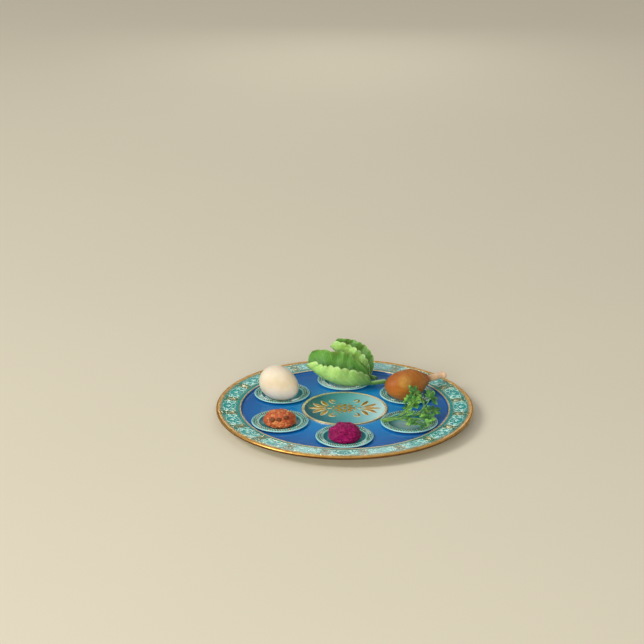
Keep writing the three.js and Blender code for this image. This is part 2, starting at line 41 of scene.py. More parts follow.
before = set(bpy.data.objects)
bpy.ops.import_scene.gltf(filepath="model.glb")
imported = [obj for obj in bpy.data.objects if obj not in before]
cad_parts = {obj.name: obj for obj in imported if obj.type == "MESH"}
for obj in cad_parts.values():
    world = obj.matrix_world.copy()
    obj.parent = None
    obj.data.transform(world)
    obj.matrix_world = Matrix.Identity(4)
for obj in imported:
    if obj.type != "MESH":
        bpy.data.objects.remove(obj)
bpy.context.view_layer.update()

MM = 0.001

# Sizes that follow the frame, in millimetres
PLATE_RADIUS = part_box("plate")[1].x / MM
RIM_WIDTH = 34
RIM_THICKNESS = 4
RIM_RISE = 2.5
EDGE_BEAD_RADIUS = 2.3
WELL_TOP = 10.5
STEP_HEIGHT = 3
STEP_RUN = 2.2
FOOT_HEIGHT = 4
FOOT_WIDTH = 6
OUTER_FOOT_RADIUS = 121
INNER_FOOT_RADIUS = 44
MEDALLION_RADIUS = 59
MEDALLION_RISE = 1.2
GILT_LINE_WIDTH = 2.8
GILT_LINE_HEIGHT = 0.6
GILT_WASH = 1.3  # flat gold painted beside the medallion's line
WELL_RADIUS = PLATE_RADIUS - RIM_WIDTH
MEDALLION_TOP = WELL_TOP + MEDALLION_RISE

SAUCER_RADIUS = (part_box("saucer_egg")[1].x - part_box("saucer_egg")[0].x) / 2 / MM
SAUCER_HEIGHT = 6.7
SAUCER_WALL = 2
SAUCER_FOOT_RADIUS = 28.5
SAUCER_FOOT_WIDTH = 3.2
SAUCER_FOOT_RECESS = 0.8
SAUCER_LIP_INNER = 27.7
SAUCER_LIP_FALL = 1
SAUCER_FLOOR_RADIUS = 23.1
SAUCER_UNDER = 3.3  # where the saucer's wall leaves its foot
SEAT_RADIUS = 29
SEAT_DEPTH = 3
SAUCERS = ("lettuce", "egg", "charoset", "horseradish", "parsley", "shank")

# Foods, with the values of their CAD solids, except that the two heaps are slightly slimmer
EGG_LENGTH = 58
EGG_WIDTH = 46
EGG_TAPER = 0.14
EGG_YAW = 30
EGG_DIP = 15
EGG_PLACE = (-3, -19)  # from the middle of its saucer
MEAT_LENGTH = 76
MEAT_RADIUS = 21.5
MEAT_NECK_RADIUS = 9
MEAT_WIDEST = 0.38
MEAT_FLATTENING = 0.92
BONE_RADIUS = 4.4
BONE_LENGTH = 82
BONE_IN_MEAT = 44
KNUCKLE_RADIUS = 4.7
KNUCKLE_SPREAD = 2.3
SHANK_YAW = 46
SHANK_DIP = 5
SHANK_PLACE = (-6, -17)  # where the meat is widest, from the middle of its saucer
LEAF_RIB_RADIUS = 2.7
LEAF_RIB_TIP_RADIUS = 0.9
STEM_RADIUS = 1.2
LEAFLET_LENGTH = 9
CHAROSET = {"radius": 21.9, "height": 17, "lumps": 0.16, "twist": 6, "lean": -2}
HORSERADISH = {"radius": 21.6, "height": 20, "lumps": 0.24, "twist": -7, "lean": -2}
MOUND_FOOT_SHARE = 0.84
MOUND_WAIST = 0.26
MOUND_SHOULDER = 0.88  # where the top begins to close
SHREDS = 330
SHRED_SEED = 5
NUT = (4.6, 8, 5.6)
# Each nut's bearing in degrees, and how far up the heap it lies
NUTS = {
    "charoset_nut_left": (-122, 0.66),
    "charoset_nut_middle": (-92, 0.7),
    "charoset_nut_right": (-58, 0.78),
}

# Roundness
PLATE_SIDES = 240
SAUCER_SIDES = 120
FOOD_SIDES = 96

# Rim ornament
MODULES = 20
FILIGREE_INNER = 146.9
FILIGREE_MIDDLE = 158
FILIGREE_OUTER = 168.7
HALF_MODULE = pi * FILIGREE_MIDDLE / MODULES

# A stroke's section, as shares of its width and height, which sinks a little into the glaze
RIDGE = [(-0.5, -0.15), (-0.34, 0.72), (0.0, 1.0), (0.34, 0.72), (0.5, -0.15)]
PEARL_SIDES = 7


def linear(code):
    """An sRGB colour such as "#2a8085" as linear red, green, blue and alpha."""
    parts = [int(code[i : i + 2], 16) / 255 for i in (1, 3, 5)]
    return tuple(p / 12.92 if p <= 0.04045 else ((p + 0.055) / 1.055) ** 2.4 for p in parts) + (1.0,)


def length(name, description, default, **limits):
    """A length in metres that the sidebar shows with its unit, from a default in millimetres."""
    return bpy.props.FloatProperty(
        name=name,
        description=description,
        default=default * MM,
        subtype="DISTANCE",
        unit="LENGTH",
        **limits,
    )


def colour(name, description, code):
    """A colour that the sidebar shows as a swatch."""
    return bpy.props.FloatVectorProperty(
        name=name, description=description, default=linear(code), size=4, min=0, max=1, subtype="COLOR"
    )


class SederPlateSizes(bpy.types.PropertyGroup):
    """Sizes of the ornament and of the foods' fine forms."""

    line_width: length("Filigree line", "Width of the raised lines on the rim", 0.9, min=0)
    line_height: length("Filigree height", "How far the lines stand above the glaze", 0.4, min=0)
    pearl_length: length("Pearl", "Length of a painted pearl on a saucer's lip", 2.6, min=0)
    rosette_radius: length("Rosette", "Radius of the rosette in the middle", 16.5, min=0)
    leaf_thickness: length("Lettuce leaf", "Thickness of the lettuce near its edge", 0.7, min=0)
    leaflet_thickness: length("Parsley leaflet", "Thickness of a parsley leaflet", 0.45, min=0)
    shred_radius: length("Shred", "Radius of a horseradish shred", 0.55, min=0)
    pearls: bpy.props.IntProperty(
        name="Pearls in a row", description="Pearls in the outer row of a saucer's lip", default=64, min=3
    )


class SederPlateColours(bpy.types.PropertyGroup):
    """Colours of the glazes and of the foods."""

    rim: colour("Rim", "Teal glaze of the rim", "#159a93")
    well: colour("Well", "Royal blue glaze at the edge of the well", "#1663a8")
    well_middle: colour("Well, middle", "Cerulean glaze round the medallion", "#0c8dcc")
    enamel: colour("Enamel", "Cream enamel of the raised lines", "#d4f7e8")
    mint: colour("Mint", "Mint enamel of the fine lines and pearls", "#86d2c0")
    gold: colour("Gold", "Burnished gold of the edge", "#ebb660")
    # Painted shade: a dark brown lustre laid on the underside of the gold edge to darken it
    bronze: colour("Bronze", "Darker lustre under the edge", "#7d5330")
    pale_gold: colour("Pale gold", "Thin, pale gold of the lines and the rim's ornament", "#f2e2b4")
    medallion_gold: colour("Medallion gold", "Deeper gold of the rosette and its leaves", "#dca747")
    shell: colour("Eggshell", "The egg's shell", "#e4d5ba")
    meat: colour("Meat", "Roasted meat", "#b76f24")
    lettuce: colour("Lettuce", "Pale outer side of the lettuce", "#bbe083")
    lettuce_dark: colour("Lettuce, inside", "Darker inner side of the lettuce", "#68a044")
    parsley: colour("Parsley", "Parsley leaflets", "#4a8a38")
    charoset: colour("Charoset", "Spiced fruit paste", "#c35f34")
    beet: colour("Beet", "Horseradish dyed with beet", "#940655")
    floor: colour("Floor", "The plain surface underneath", "#e0d6bd")


class Step:
    """What the operators share: each builds with the sizes and colours of the sidebar."""

    def execute(self, context):
        scene = context.scene
        self.build(scene, scene.seder_sizes, scene.seder_colours)
        return {"FINISHED"}


# Meshes


class Shape:
    """Points, in millimetres, and faces for one piece, each face with the number of its finish."""

    def __init__(self, *body, **values):
        self.points = []
        self.faces = []
        self.finishes = []
        self.values = {}
        if body:
            self.add(*body, **values)

    def add(self, points, faces, finish=0, **values):
        """Adds a closed body. values are lists of one number for each point, for the materials."""
        first = len(self.points)
        for name in {**self.values, **values}:
            known = self.values.setdefault(name, [0.0] * first)
            known += values.get(name, [0.0] * len(points))
        self.points += points
        self.faces += [[first + corner for corner in face] for face in faces]
        self.finishes += finish if isinstance(finish, list) else [finish] * len(faces)

    def moved(self, matrix):
        """Moves every point."""
        self.points = [matrix @ point for point in self.points]
        return self

    def lowered(self, node):
        """Sets the lowest point at the lowest point of a CAD node."""
        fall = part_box(node)[0].z / MM - min(point.z for point in self.points)
        return self.moved(Matrix.Translation((0, 0, fall)))


def piece(name, shape, materials, body, replaces=(), crease=40):
    """Makes an object of a shape that rides on a body and stands for some CAD nodes."""
    mesh = bpy.data.meshes.new(name)
    mesh.from_pydata([point * MM for point in shape.points], [], shape.faces)
    for material in materials:
        mesh.materials.append(material)
    mesh.polygons.foreach_set("material_index", shape.finishes)
    mesh.polygons.foreach_set("use_smooth", [True] * len(mesh.polygons))
    for value_name, values in shape.values.items():
        mesh.attributes.new(value_name, "FLOAT", "POINT").data.foreach_set("value", values)
    mesh.set_sharp_from_angle(angle=radians(crease))
    mesh.validate()
    made = bpy.data.objects.new(name, mesh)
    bpy.context.scene.collection.objects.link(made)
    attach(made, body)
    if replaces:
        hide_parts(*replaces)
    return made


def ring_faces(rings, sides):
    """Quads between rings of points that lie one after the other."""
    faces = []
    for ring in range(rings - 1):
        for side in range(sides):
            next_side = (side + 1) % sides
            low = ring * sides
            high = low + sides
            faces.append([low + side, low + next_side, high + next_side, high + side])
    return faces


def skin(rings, first=None, last=None):
    """A closed body from rings of points, with a point or a flat face at each end."""
    sides = len(rings[0])
    points = [point for ring in rings for point in ring]
    faces = ring_faces(len(rings), sides)
    top = len(points) - sides
    if first is None:
        faces.append(list(range(sides))[::-1])
    else:
        faces += [[len(points), (side + 1) % sides, side] for side in range(sides)]
        points.append(first)
    if last is None:
        faces.append([top + side for side in range(sides)])
    else:
        faces += [[len(points), top + side, top + (side + 1) % sides] for side in range(sides)]
        points.append(last)
    return points, faces


def eased(corners, steps=4):
    """A profile with rounded corners, from (radius, height, reach of the rounding, finish after it)."""
    profile = []
    for i, (radius, height, reach, after) in enumerate(corners):
        here = Vector((radius, height))
        before = corners[i - 1][3] if i else after
        if reach == 0:
            profile.append((here, after))
            continue
        back = Vector(corners[i - 1][:2]) - here
        ahead = Vector(corners[i + 1][:2]) - here
        start = here + back.normalized() * min(reach, 0.48 * back.length)
        end = here + ahead.normalized() * min(reach, 0.48 * ahead.length)
        for step in range(steps + 1):
            t = step / steps
            bent = start * (1 - t) ** 2 + here * (2 * t * (1 - t)) + end * t**2
            profile.append((bent, after if 2 * step >= steps else before))
    return profile


def turned(profile, sides, centre=Vector()):
    """A body turned about the vertical from a profile that starts and ends on the axis."""
    rings = []
    for point, _ in profile[1:-1]:
        rings.append([centre + Vector((point.x * x, -point.x * y, point.y)) for x, y in circle(sides)])
    first = centre + Vector((0, 0, profile[0][0].y))
    last = centre + Vector((0, 0, profile[-1][0].y))
    points, faces = skin(rings, first, last)
    finishes = []
    for _, finish in profile[1:-2]:
        finishes += [finish] * sides
    finishes += [profile[0][1]] * sides + [profile[-2][1]] * sides
    return points, faces, finishes


def smooth_path(points, count):
    """Evenly spaced points on a centripetal Catmull-Rom curve through some points."""
    given = [Vector(point) for point in points]
    given = [given[0] * 2 - given[1], *given, given[-1] * 2 - given[-2]]
    fine = []
    steps = 24
    pieces = len(given) - 3
    for i in range(pieces):
        a, b, c, d = given[i : i + 4]
        gaps = [max((q - p).length ** 0.5, 1e-6) for p, q in ((a, b), (b, c), (c, d))]
        leave = (b - a) / gaps[0] - (c - a) / (gaps[0] + gaps[1]) + (c - b) / gaps[1]
        arrive = (c - b) / gaps[1] - (d - b) / (gaps[1] + gaps[2]) + (d - c) / gaps[2]
        leave *= gaps[1]
        arrive *= gaps[1]
        for step in range(steps if i + 1 < pieces else steps + 1):
            t = step / steps
            bend = (b - c) * 2 + leave + arrive
            lean = (c - b) * 3 - leave * 2 - arrive
            fine.append(b + leave * t + lean * t**2 + bend * t**3)
    return evenly(fine, count)


def evenly(fine, count):
    """The same line as count + 1 evenly spaced points."""
    reach = [0.0]
    for here, ahead in zip(fine, fine[1:]):
        reach.append(reach[-1] + (ahead - here).length)
    spaced = []
    at = 0
    for step in range(count + 1):
        wanted = reach[-1] * step / count
        while at < len(fine) - 2 and reach[at + 1] < wanted:
            at += 1
        share = (wanted - reach[at]) / max(reach[at + 1] - reach[at], 1e-9)
        spaced.append(fine[at].lerp(fine[at + 1], min(share, 1)))
    return spaced


def headings(path):
    """The direction of a path at each of its points."""
    last = len(path) - 1
    return [(path[min(i + 1, last)] - path[max(i - 1, 0)]).normalized() for i in range(last + 1)]


def swept(path, section, sizes, up=Vector((0, 0, 1))):
    """A closed tube along a path. section is a loop of (aside, up) shares of (width, height) sizes."""
    rings = []
    for here, ahead, (width, height) in zip(path, headings(path), sizes):
        up = (up - ahead * up.dot(ahead)).normalized()
        aside = ahead.cross(up)
        rings.append([here + aside * (width * s) + up * (height * u) for s, u in section])
    return skin(rings)


def circle(sides):
    """A round section with a radius of 1."""
    turns = [tau * side / sides for side in range(sides)]
    return [(cos(turn), -sin(turn)) for turn in turns]


def tilt(yaw, dip):
    """A rotation that dips the +X axis and then turns it about the vertical, both in degrees."""
    return Matrix.Rotation(radians(yaw), 4, "Z") @ Matrix.Rotation(radians(dip), 4, "Y")


def rim_top(radius):
    """The height of the rim's upper side."""
    return WELL_TOP + STEP_HEIGHT + RIM_RISE * (radius - WELL_RADIUS) / RIM_WIDTH


# Materials

# Settings of a node that mixes colours, and of one that darkens a colour by another
COLOURS = {"data_type": "RGBA"}
SHADES = {"data_type": "RGBA", "blend_type": "MULTIPLY"}


def rgba(look):
    """A linear colour from an sRGB code, a grey level or a linear colour."""
    if isinstance(look, str):
        return linear(look)
    return (look, look, look, 1.0) if isinstance(look, (int, float)) else tuple(look)


def add_node(tree, kind, inputs=(), stops=(), **settings):
    """Adds a node, with its settings, a colour ramp's stops and its inputs, by name or in order.

    An input is a number, a colour, a socket, or a node, whose first output is taken."""
    made = tree.nodes.new("ShaderNode" + kind)
    for name, value in settings.items():
        setattr(made, name, value)
    if stops:
        ramp = made.color_ramp
        ramp.elements.remove(ramp.elements[1])
        ramp.elements[0].position = stops[0][0]
        ramp.elements[0].color = rgba(stops[0][1])
        for place, look in stops[1:]:
            ramp.elements.new(place).color = rgba(look)
    free = [socket for socket in made.inputs if socket.enabled]
    if isinstance(inputs, dict):
        wiring = [(next(s for s in free if s.name == name), value) for name, value in inputs.items()]
    else:
        wiring = zip(free, inputs)
    for socket, value in wiring:
        join(tree, value, socket)
    return made


def join(tree, value, socket):
    """Links a socket or a node's first output to an input, or sets the input to a value."""
    if isinstance(value, bpy.types.Node):
        value = next(out for out in value.outputs if out.enabled)
    if isinstance(value, bpy.types.NodeSocket):
        tree.links.new(value, socket)
    else:
        socket.default_value = linear(value) if isinstance(value, str) else value


def surface(**constants):
    """Turns a function that adds a surface's nodes into one that makes a material with a given name.

    The function gets add, which adds a node, where, which is the place on the object, and any looks. What it
    returns is linked to the sockets of the Principled shader. constants are set on others."""

    def wrap(wires):
        def make(name, *looks):
            material = bpy.data.materials.new(name)
            material.use_nodes = True
            tree = material.node_tree
            shader = tree.nodes["Principled BSDF"]
            add = partial(add_node, tree)
            where = add("TexCoord").outputs["Object"]
            for socket, value in {**constants, **wires(add, where, *looks)}.items():
                join(tree, value, shader.inputs[socket.replace("_", " ")])
            return material

        return make

    return wrap


def per(size):
    """How many of a pattern's features, of a size in millimetres, fit in a metre."""
    return 1 / (size * MM)


def from_middle(add, where, centre=(0, 0)):
    """How far a place lies from a vertical axis, in metres, with its offsets along X and Y."""
    parts = add("SeparateXYZ", [where])
    x = add("Math", [parts.outputs["X"], centre[0] * MM], operation="SUBTRACT")
    y = add("Math", [parts.outputs["Y"], centre[1] * MM], operation="SUBTRACT")
    flat = add("CombineXYZ", {"X": x, "Y": y})
    return add("VectorMath", [flat], operation="LENGTH").outputs["Value"], x, y


def glaze_relief(add, where):
    """The faint waviness that a fired glaze keeps, about 5 mm from crest to crest."""
    wave = add("TexNoise", {"Vector": where, "Scale": per(5)})
    return add("Bump", {"Height": wave, "Distance": 0.03 * MM})


# Fired lead glaze over porcelain: mirror smooth, with fine lines painted under it in mint and olive gold
@surface(Roughness=0.12, IOR=1.52)
def rim_glaze(add, where, colours):
    far, x, y = from_middle(add, where)
    angle = add("Math", [y, x], operation="ARCTAN2")
    count = add("Math", [angle, MODULES / tau], operation="MULTIPLY")
    # 0 in the middle of a cartouche and 0.5 half way to the next
    beside = add("Math", [count, 0.5], operation="PINGPONG")
    # Lines about 0.7 mm wide and 2.6 mm apart, wider than real brush lines so that they show
    swirl = add("TexNoise", {"Vector": where, "Scale": per(2.6), "Detail": 0.0})
    level = add("Math", [swirl, 0.5], operation="SUBTRACT")
    beside_line = add("Math", [level], operation="ABSOLUTE")
    line = add("ValToRGB", [beside_line], [(0.018, 1.0), (0.036, 0.0)])
    share = add("Math", [far, PLATE_RADIUS * MM], operation="DIVIDE")
    inner = FILIGREE_INNER / PLATE_RADIUS
    outer = FILIGREE_OUTER / PLATE_RADIUS
    edges = [(inner - 0.002, 0.0), (inner, 1.0), (outer, 1.0), (outer + 0.002, 0.0)]
    inside = add("ValToRGB", [share], edges)
    drawn = add("Math", [line, inside], operation="MULTIPLY")
    deep = add("TexNoise", {"Vector": where, "Scale": per(9)})
    teal = add("ValToRGB", [deep], [(0.3, "#10827f"), (0.65, colours.rim)])
    washed = add("Mix", {"Factor": inside, "A": teal, "B": "#17705f"}, **COLOURS)
    between = add("ValToRGB", [beside], [(0.34, 0.0), (0.42, 1.0)])
    ground = add("Mix", {"Factor": between, "A": teal, "B": washed}, **COLOURS)
    ink = add("ValToRGB", [beside], [(0.34, "#38aea2"), (0.42, "#5cab7e")])
    return {
        "Base_Color": add("Mix", {"Factor": drawn, "A": ground, "B": ink}, **COLOURS),
        "Normal": glaze_relief(add, where),
    }


# Cobalt glaze: light cerulean round the medallion, darker royal blue towards the step, with soft clouding
@surface(Roughness=0.1, IOR=1.52)
def well_glaze(add, where, colours):
    far, _, _ = from_middle(add, where)
    share = add("Math", [far, WELL_RADIUS * MM], operation="DIVIDE")
    blues = [(0.42, colours.well_middle), (0.66, "#0777be"), (0.93, colours.well)]
    blue = add("ValToRGB", [share], blues)
    pool = add("TexNoise", {"Vector": where, "Scale": per(22), "Detail": 3.0})
    cloud = add("ValToRGB", [pool], [(0.3, 0.92), (0.7, 1.0)])
    return {
        "Base_Color": add("Mix", {"Factor": 1.0, "A": blue, "B": cloud}, **SHADES),
        "Normal": glaze_relief(add, where),
    }


# Celadon glaze, dark at the medallion's -X side and pale at its +X side, with soft streaks
@surface(Roughness=0.12, IOR=1.52)
def medallion_glaze(add, where):
    _, x, _ = from_middle(add, where)
    streak = add("TexNoise", {"Vector": where, "Scale": per(16)})
    wobble = add("Math", [streak, 12 * MM], operation="MULTIPLY")
    across = add("Math", [x, wobble], operation="ADD")
    share = add("MapRange", {"Value": across, "From Min": -50 * MM, "From Max": 62 * MM})
    codes = ("#064b52", "#10646c", "#3a8a90", "#62afb3", "#98d2cf", "#cbf0e8")
    wash = add("ValToRGB", [share], [(i / 5, code) for i, code in enumerate(codes)])
    return {"Base_Color": wash, "Normal": glaze_relief(add, where)}


# Burnished gold lustre, brushed on and fired: pale warm metal, rougher where the brush lifted
@surface(Metallic=1.0)
def gilding(add, where, gold):
    shade = [0.8 * gold[0], 0.72 * gold[1], 0.56 * gold[2], 1.0]
    brush = add("TexNoise", {"Vector": where, "Scale": per(7), "Detail": 3.0})
    grain = add("TexNoise", {"Vector": where, "Scale": per(1.1)})
    return {
        "Base_Color": add("ValToRGB", [brush], [(0.32, shade), (0.56, gold)]),
        "Roughness": add("ValToRGB", [brush], [(0.3, 0.42), (0.7, 0.3)]),
        "Normal": add("Bump", {"Height": grain, "Distance": 0.008 * MM}),
    }


# Raised enamel: opaque and glossy, greener where it runs thin
@surface(Roughness=0.25, IOR=1.5)
def raised_enamel(add, where, thin, thick):
    run = add("TexNoise", {"Vector": where, "Scale": per(7)})
    pits = add("TexNoise", {"Vector": where, "Scale": per(1.2)})
    return {
        "Base_Color": add("ValToRGB", [run], [(0.34, thin), (0.52, thick)]),
        "Normal": add("Bump", {"Height": pits, "Distance": 0.02 * MM}),
    }


# White porcelain under a clear glaze, with the iron specks of real clay
@surface(Roughness=0.15, IOR=1.5)
def white_porcelain(add, where):
    iron = add("TexNoise", {"Vector": where, "Scale": per(0.7), "Detail": 0.0})
    specks = add("ValToRGB", [iron], [(0.24, 0.35), (0.28, 1.0)])
    clay = add("TexNoise", {"Vector": where, "Scale": per(30)})
    body = add("ValToRGB", [clay], [(0.3, "#dfe6e2"), (0.7, "#edeee8")])
    return {
        "Base_Color": add("Mix", {"Factor": 1.0, "A": body, "B": specks}, **SHADES),
        "Normal": glaze_relief(add, where),
    }


# Bare biscuit where the foot was wiped before firing: matt and finely grained
@surface(Roughness=0.85)
def biscuit(add, where):
    grain = add("TexNoise", {"Vector": where, "Scale": per(0.4), "Detail": 3.0})
    return {
        "Base_Color": add("ValToRGB", [grain], [(0.3, "#cfc3a8"), (0.7, "#e4dcc8")]),
        "Normal": add("Bump", {"Height": grain, "Distance": 0.04 * MM}),
    }


# Plate

# Numbers of the plate's finishes, in the order of its materials
(TEAL, GOLD, LINE_GOLD, EDGE_SHADE, COBALT, CELADON, WHITE, BISCUIT) = range(8)


def foot_ring(radius):
    """The profile of a foot ring, wiped bare where it stands."""
    inner = radius - FOOT_WIDTH / 2
    outer = radius + FOOT_WIDTH / 2
    return [
        (inner, FOOT_HEIGHT, 0.6, WHITE),
        (inner + 0.8, 0, 0.5, BISCUIT),
        (outer - 0.8, 0, 0.5, WHITE),
        (outer, FOOT_HEIGHT, 0.6, WHITE),
    ]


def gilt_line(radius, outer_base, inner_base, inside):
    """The profile of a raised gold line, from its outer to its inner side."""
    return [
        (radius, outer_base, 0.15, LINE_GOLD),
        (radius - GILT_LINE_HEIGHT, inner_base + GILT_LINE_HEIGHT, 0.4, LINE_GOLD),
        (radius - GILT_LINE_WIDTH + GILT_LINE_HEIGHT, inner_base + GILT_LINE_HEIGHT, 0.4, LINE_GOLD),
        (radius - GILT_LINE_WIDTH, inner_base, 0.15, inside),
    ]


def plate_profile():
    """The plate's half section, from the middle of its underside to the middle of its top."""
    bead_inner = PLATE_RADIUS - 2 * EDGE_BEAD_RADIUS
    bead_middle = PLATE_RADIUS - EDGE_BEAD_RADIUS
    bead_height = rim_top(bead_middle) - RIM_THICKNESS / 2
    bead = []
    for step in range(15):
        turn = radians(-110 + 220 * step / 14)
        radius = bead_middle + EDGE_BEAD_RADIUS * cos(turn)
        height = bead_height + EDGE_BEAD_RADIUS * sin(turn)
        # Below the bead's middle the lustre turns dark brown: painted shade under the gold edge
        bead.append((radius, height, 0, EDGE_SHADE if turn < radians(5) else GOLD))
    rim_inner = WELL_RADIUS + GILT_LINE_WIDTH
    quarter = WELL_RADIUS + RIM_WIDTH / 4
    return eased(
        [
            (0, FOOT_HEIGHT, 0, WHITE),
            *foot_ring(INNER_FOOT_RADIUS),
            *foot_ring(OUTER_FOOT_RADIUS),
            (OUTER_FOOT_RADIUS + FOOT_WIDTH, FOOT_HEIGHT, 1.5, WHITE),
            (WELL_RADIUS, rim_top(WELL_RADIUS) - RIM_THICKNESS - STEP_HEIGHT / 2, 4, WHITE),
            (quarter, rim_top(quarter) - RIM_THICKNESS, 4, WHITE),
            # The rim's underside beside the bead is dark brown as well: painted shade
            (bead_inner, rim_top(bead_inner) - RIM_THICKNESS, 0.3, EDGE_SHADE),
            *bead,
            (bead_inner, rim_top(bead_inner), 0.15, GOLD),
            (FILIGREE_OUTER + 0.3, rim_top(FILIGREE_OUTER + 0.3), 0, TEAL),
            (rim_inner + 4.0, rim_top(rim_inner + 4.0), 0, TEAL),
            *gilt_line(rim_inner, rim_top(rim_inner), rim_top(WELL_RADIUS), COBALT),
            (WELL_RADIUS - STEP_RUN / 3, WELL_TOP + STEP_HEIGHT / 3, 0.8, COBALT),
            (WELL_RADIUS - STEP_RUN, WELL_TOP, 1.2, COBALT),
            (WELL_RADIUS - STEP_RUN - 2, WELL_TOP, 0, COBALT),
            (MEDALLION_RADIUS + 2, WELL_TOP, 0, COBALT),
            *gilt_line(MEDALLION_RADIUS, WELL_TOP, MEDALLION_TOP, LINE_GOLD),
            (MEDALLION_RADIUS - GILT_LINE_WIDTH - GILT_WASH, MEDALLION_TOP, 0, CELADON),
            (0, MEDALLION_TOP, 0, CELADON),
        ]
    )


def saucer_middle(food):
    """The middle of a saucer, with the height of its underside."""
    low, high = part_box("saucer_" + food)
    return Vector(((low.x + high.x) / 2 / MM, (low.y + high.y) / 2 / MM, low.z / MM))


class SEDER_OT_plate(Step, bpy.types.Operator):
    """Turn the plate, cut the seats of its saucers and glaze it"""

    bl_idname = "seder.plate"
    bl_label = "Plate"

    def build(self, scene, sizes, colours):
        shape = Shape(*turned(plate_profile(), PLATE_SIDES))
        glazes = [
            rim_glaze("teal_lead_glaze", colours),
            gilding("edge_gold_lustre", colours.gold),
            gilding("line_gold_lustre", colours.pale_gold),
            # Dark brown lustre under the edge: painted shade
            gilding("edge_bronze_lustre", colours.bronze),
            well_glaze("cobalt_glaze", colours),
            medallion_glaze("celadon_glaze"),
            white_porcelain("clear_glazed_porcelain"),
            biscuit("unglazed_biscuit"),
        ]
        plate = piece("porcelain_plate", shape, glazes, "plate", ["plate"])
        seats = Shape()
        for food in SAUCERS:
            middle = saucer_middle(food)
            floor = WELL_TOP - SEAT_DEPTH
            profile = eased(
                [
                    (0, floor, 0, COBALT),
                    (SEAT_RADIUS, floor, 0.5, COBALT),
                    (SEAT_RADIUS, WELL_TOP + 1, 0, COBALT),
                    (0, WELL_TOP + 1, 0, COBALT),
                ]
            )
            seats.add(*turned(profile, SAUCER_SIDES, Vector((middle.x, middle.y, 0))))
        cutter = piece("seat_cutter", seats, glazes, "plate")
        cut = plate.modifiers.new("seats", "BOOLEAN")
        cut.operation = "DIFFERENCE"
        cut.solver = "EXACT"
        cut.object = cutter
        solid = bpy.data.meshes.new_from_object(plate.evaluated_get(bpy.context.evaluated_depsgraph_get()))
        plate.modifiers.clear()
        plate.data = solid
        bpy.data.objects.remove(cutter)
        solid.set_sharp_from_angle(angle=radians(40))


# Raised ornament


def scroll(points, curl, size, turns=1.3):
    """A line in the plane that ends in a volute to its left, where curl is 1, or its right."""
    line = [Vector(point) for point in points]
    ahead = (line[-1] - line[-2]).normalized()
    arm = Vector((ahead.y, -ahead.x)) * (curl * size)
    centre = line[-1] - arm
    steps = round(9 * turns)
    for step in range(1, steps + 1):
        share = step / steps
        turn = Matrix.Rotation(curl * tau * turns * share, 2)
        line.append(centre + turn @ arm * (1 - 0.82 * share))
    return line


def mirrored(lines):
    """The lines and their mirror images to the left."""
    return lines + [[(-x, y) for x, y in line] for line in lines]


def stroke(shape, line, to_space, width, height, taper=0.35, count=14, flanks=0):
    """A raised line whose ends run out to a point. Its top has finish 0, and flanks is that of its sides."""
    flat = smooth_path([(x, y, 0) for x, y in line], count)
    path = [to_space(point.x, point.y) for point in flat]
    sizes = []
    for i in range(count + 1):
        share = max(sin(pi * i / count), 0.02) ** taper
        sizes.append((width * share, height * share))
    finishes = [flanks, 0, 0, flanks, flanks] * count + [flanks, flanks]
    shape.add(*swept(path, RIDGE, sizes), finishes)


def pearl(shape, middle, ahead, long, wide, high, finish):
    """A drop of enamel that lies along a direction."""
    aside = Vector((-ahead.y, ahead.x, 0))
    rings = []
    for level, reach in ((-0.2, 1.0), (0.45, 0.9), (0.85, 0.5)):
        ring = []
        for x, y in circle(PEARL_SIDES):
            out = ahead * (x * long * reach / 2) - aside * (y * wide * reach / 2)
            ring.append(middle + out + Vector((0, 0, level * high)))
        rings.append(ring)
    shape.add(*skin(rings, None, middle + Vector((0, 0, high))), finish)


# Half of a cartouche, in millimetres along the rim and outwards from its inner edge
CARTOUCHE = [
    scroll([(0, 18.9), (5, 18.5), (9.6, 16.2), (14.4, 17), (17.6, 14.4)], -1, 2.0),
    scroll([(18, 11), (15.6, 8), (17.6, 4.6), (14, 2.4)], -1, 1.8),
    scroll([(0, 1.5), (4.8, 1.8), (9.2, 3.8)], 1, 2.0),
    scroll([(0.4, 5), (4, 7.4), (8.6, 8.2), (12, 11.6)], 1, 2.1),
    [(14, 10.2), (15.2, 12.4), (13.2, 14.4)],
]
CARTOUCHE_PEARLS = [(0, 3.6), (13.4, 5.4), (9.4, 13.8)]
FAN_ROOT = 8.4  # where the three petals in the middle of a cartouche begin
# Half of the gold palmette between two cartouches
PALMETTE = [
    [(0.4, 4.8), (1.9, 8.6), (2.2, 12.4)],
    [(0.6, 4.2), (3.1, 6.6), (4.1, 9.6)],
    [(0.8, 3.6), (3, 3.9), (4.6, 5.1)],
    scroll([(0.5, 1), (2.8, 0.6), (5.2, 1.2), (6.6, 3)], 1, 0.9, 1),
    scroll([(0.3, 16.6), (1.7, 14.2), (3.5, 14)], 1, 0.9, 1),
    # The outline of the cartouche beside it
    [(25, 21), (20.4, 20.6), (16.2, 18.6), (11.6, 19.1), (7.4, 17)],
    [(7.4, 17), (5.2, 14), (6.8, 10.6), (5.4, 7.6)],
    [(5.4, 7.6), (7.4, 4.4), (11.6, 0.9), (17, 1.4), (25, 0.3)],
]


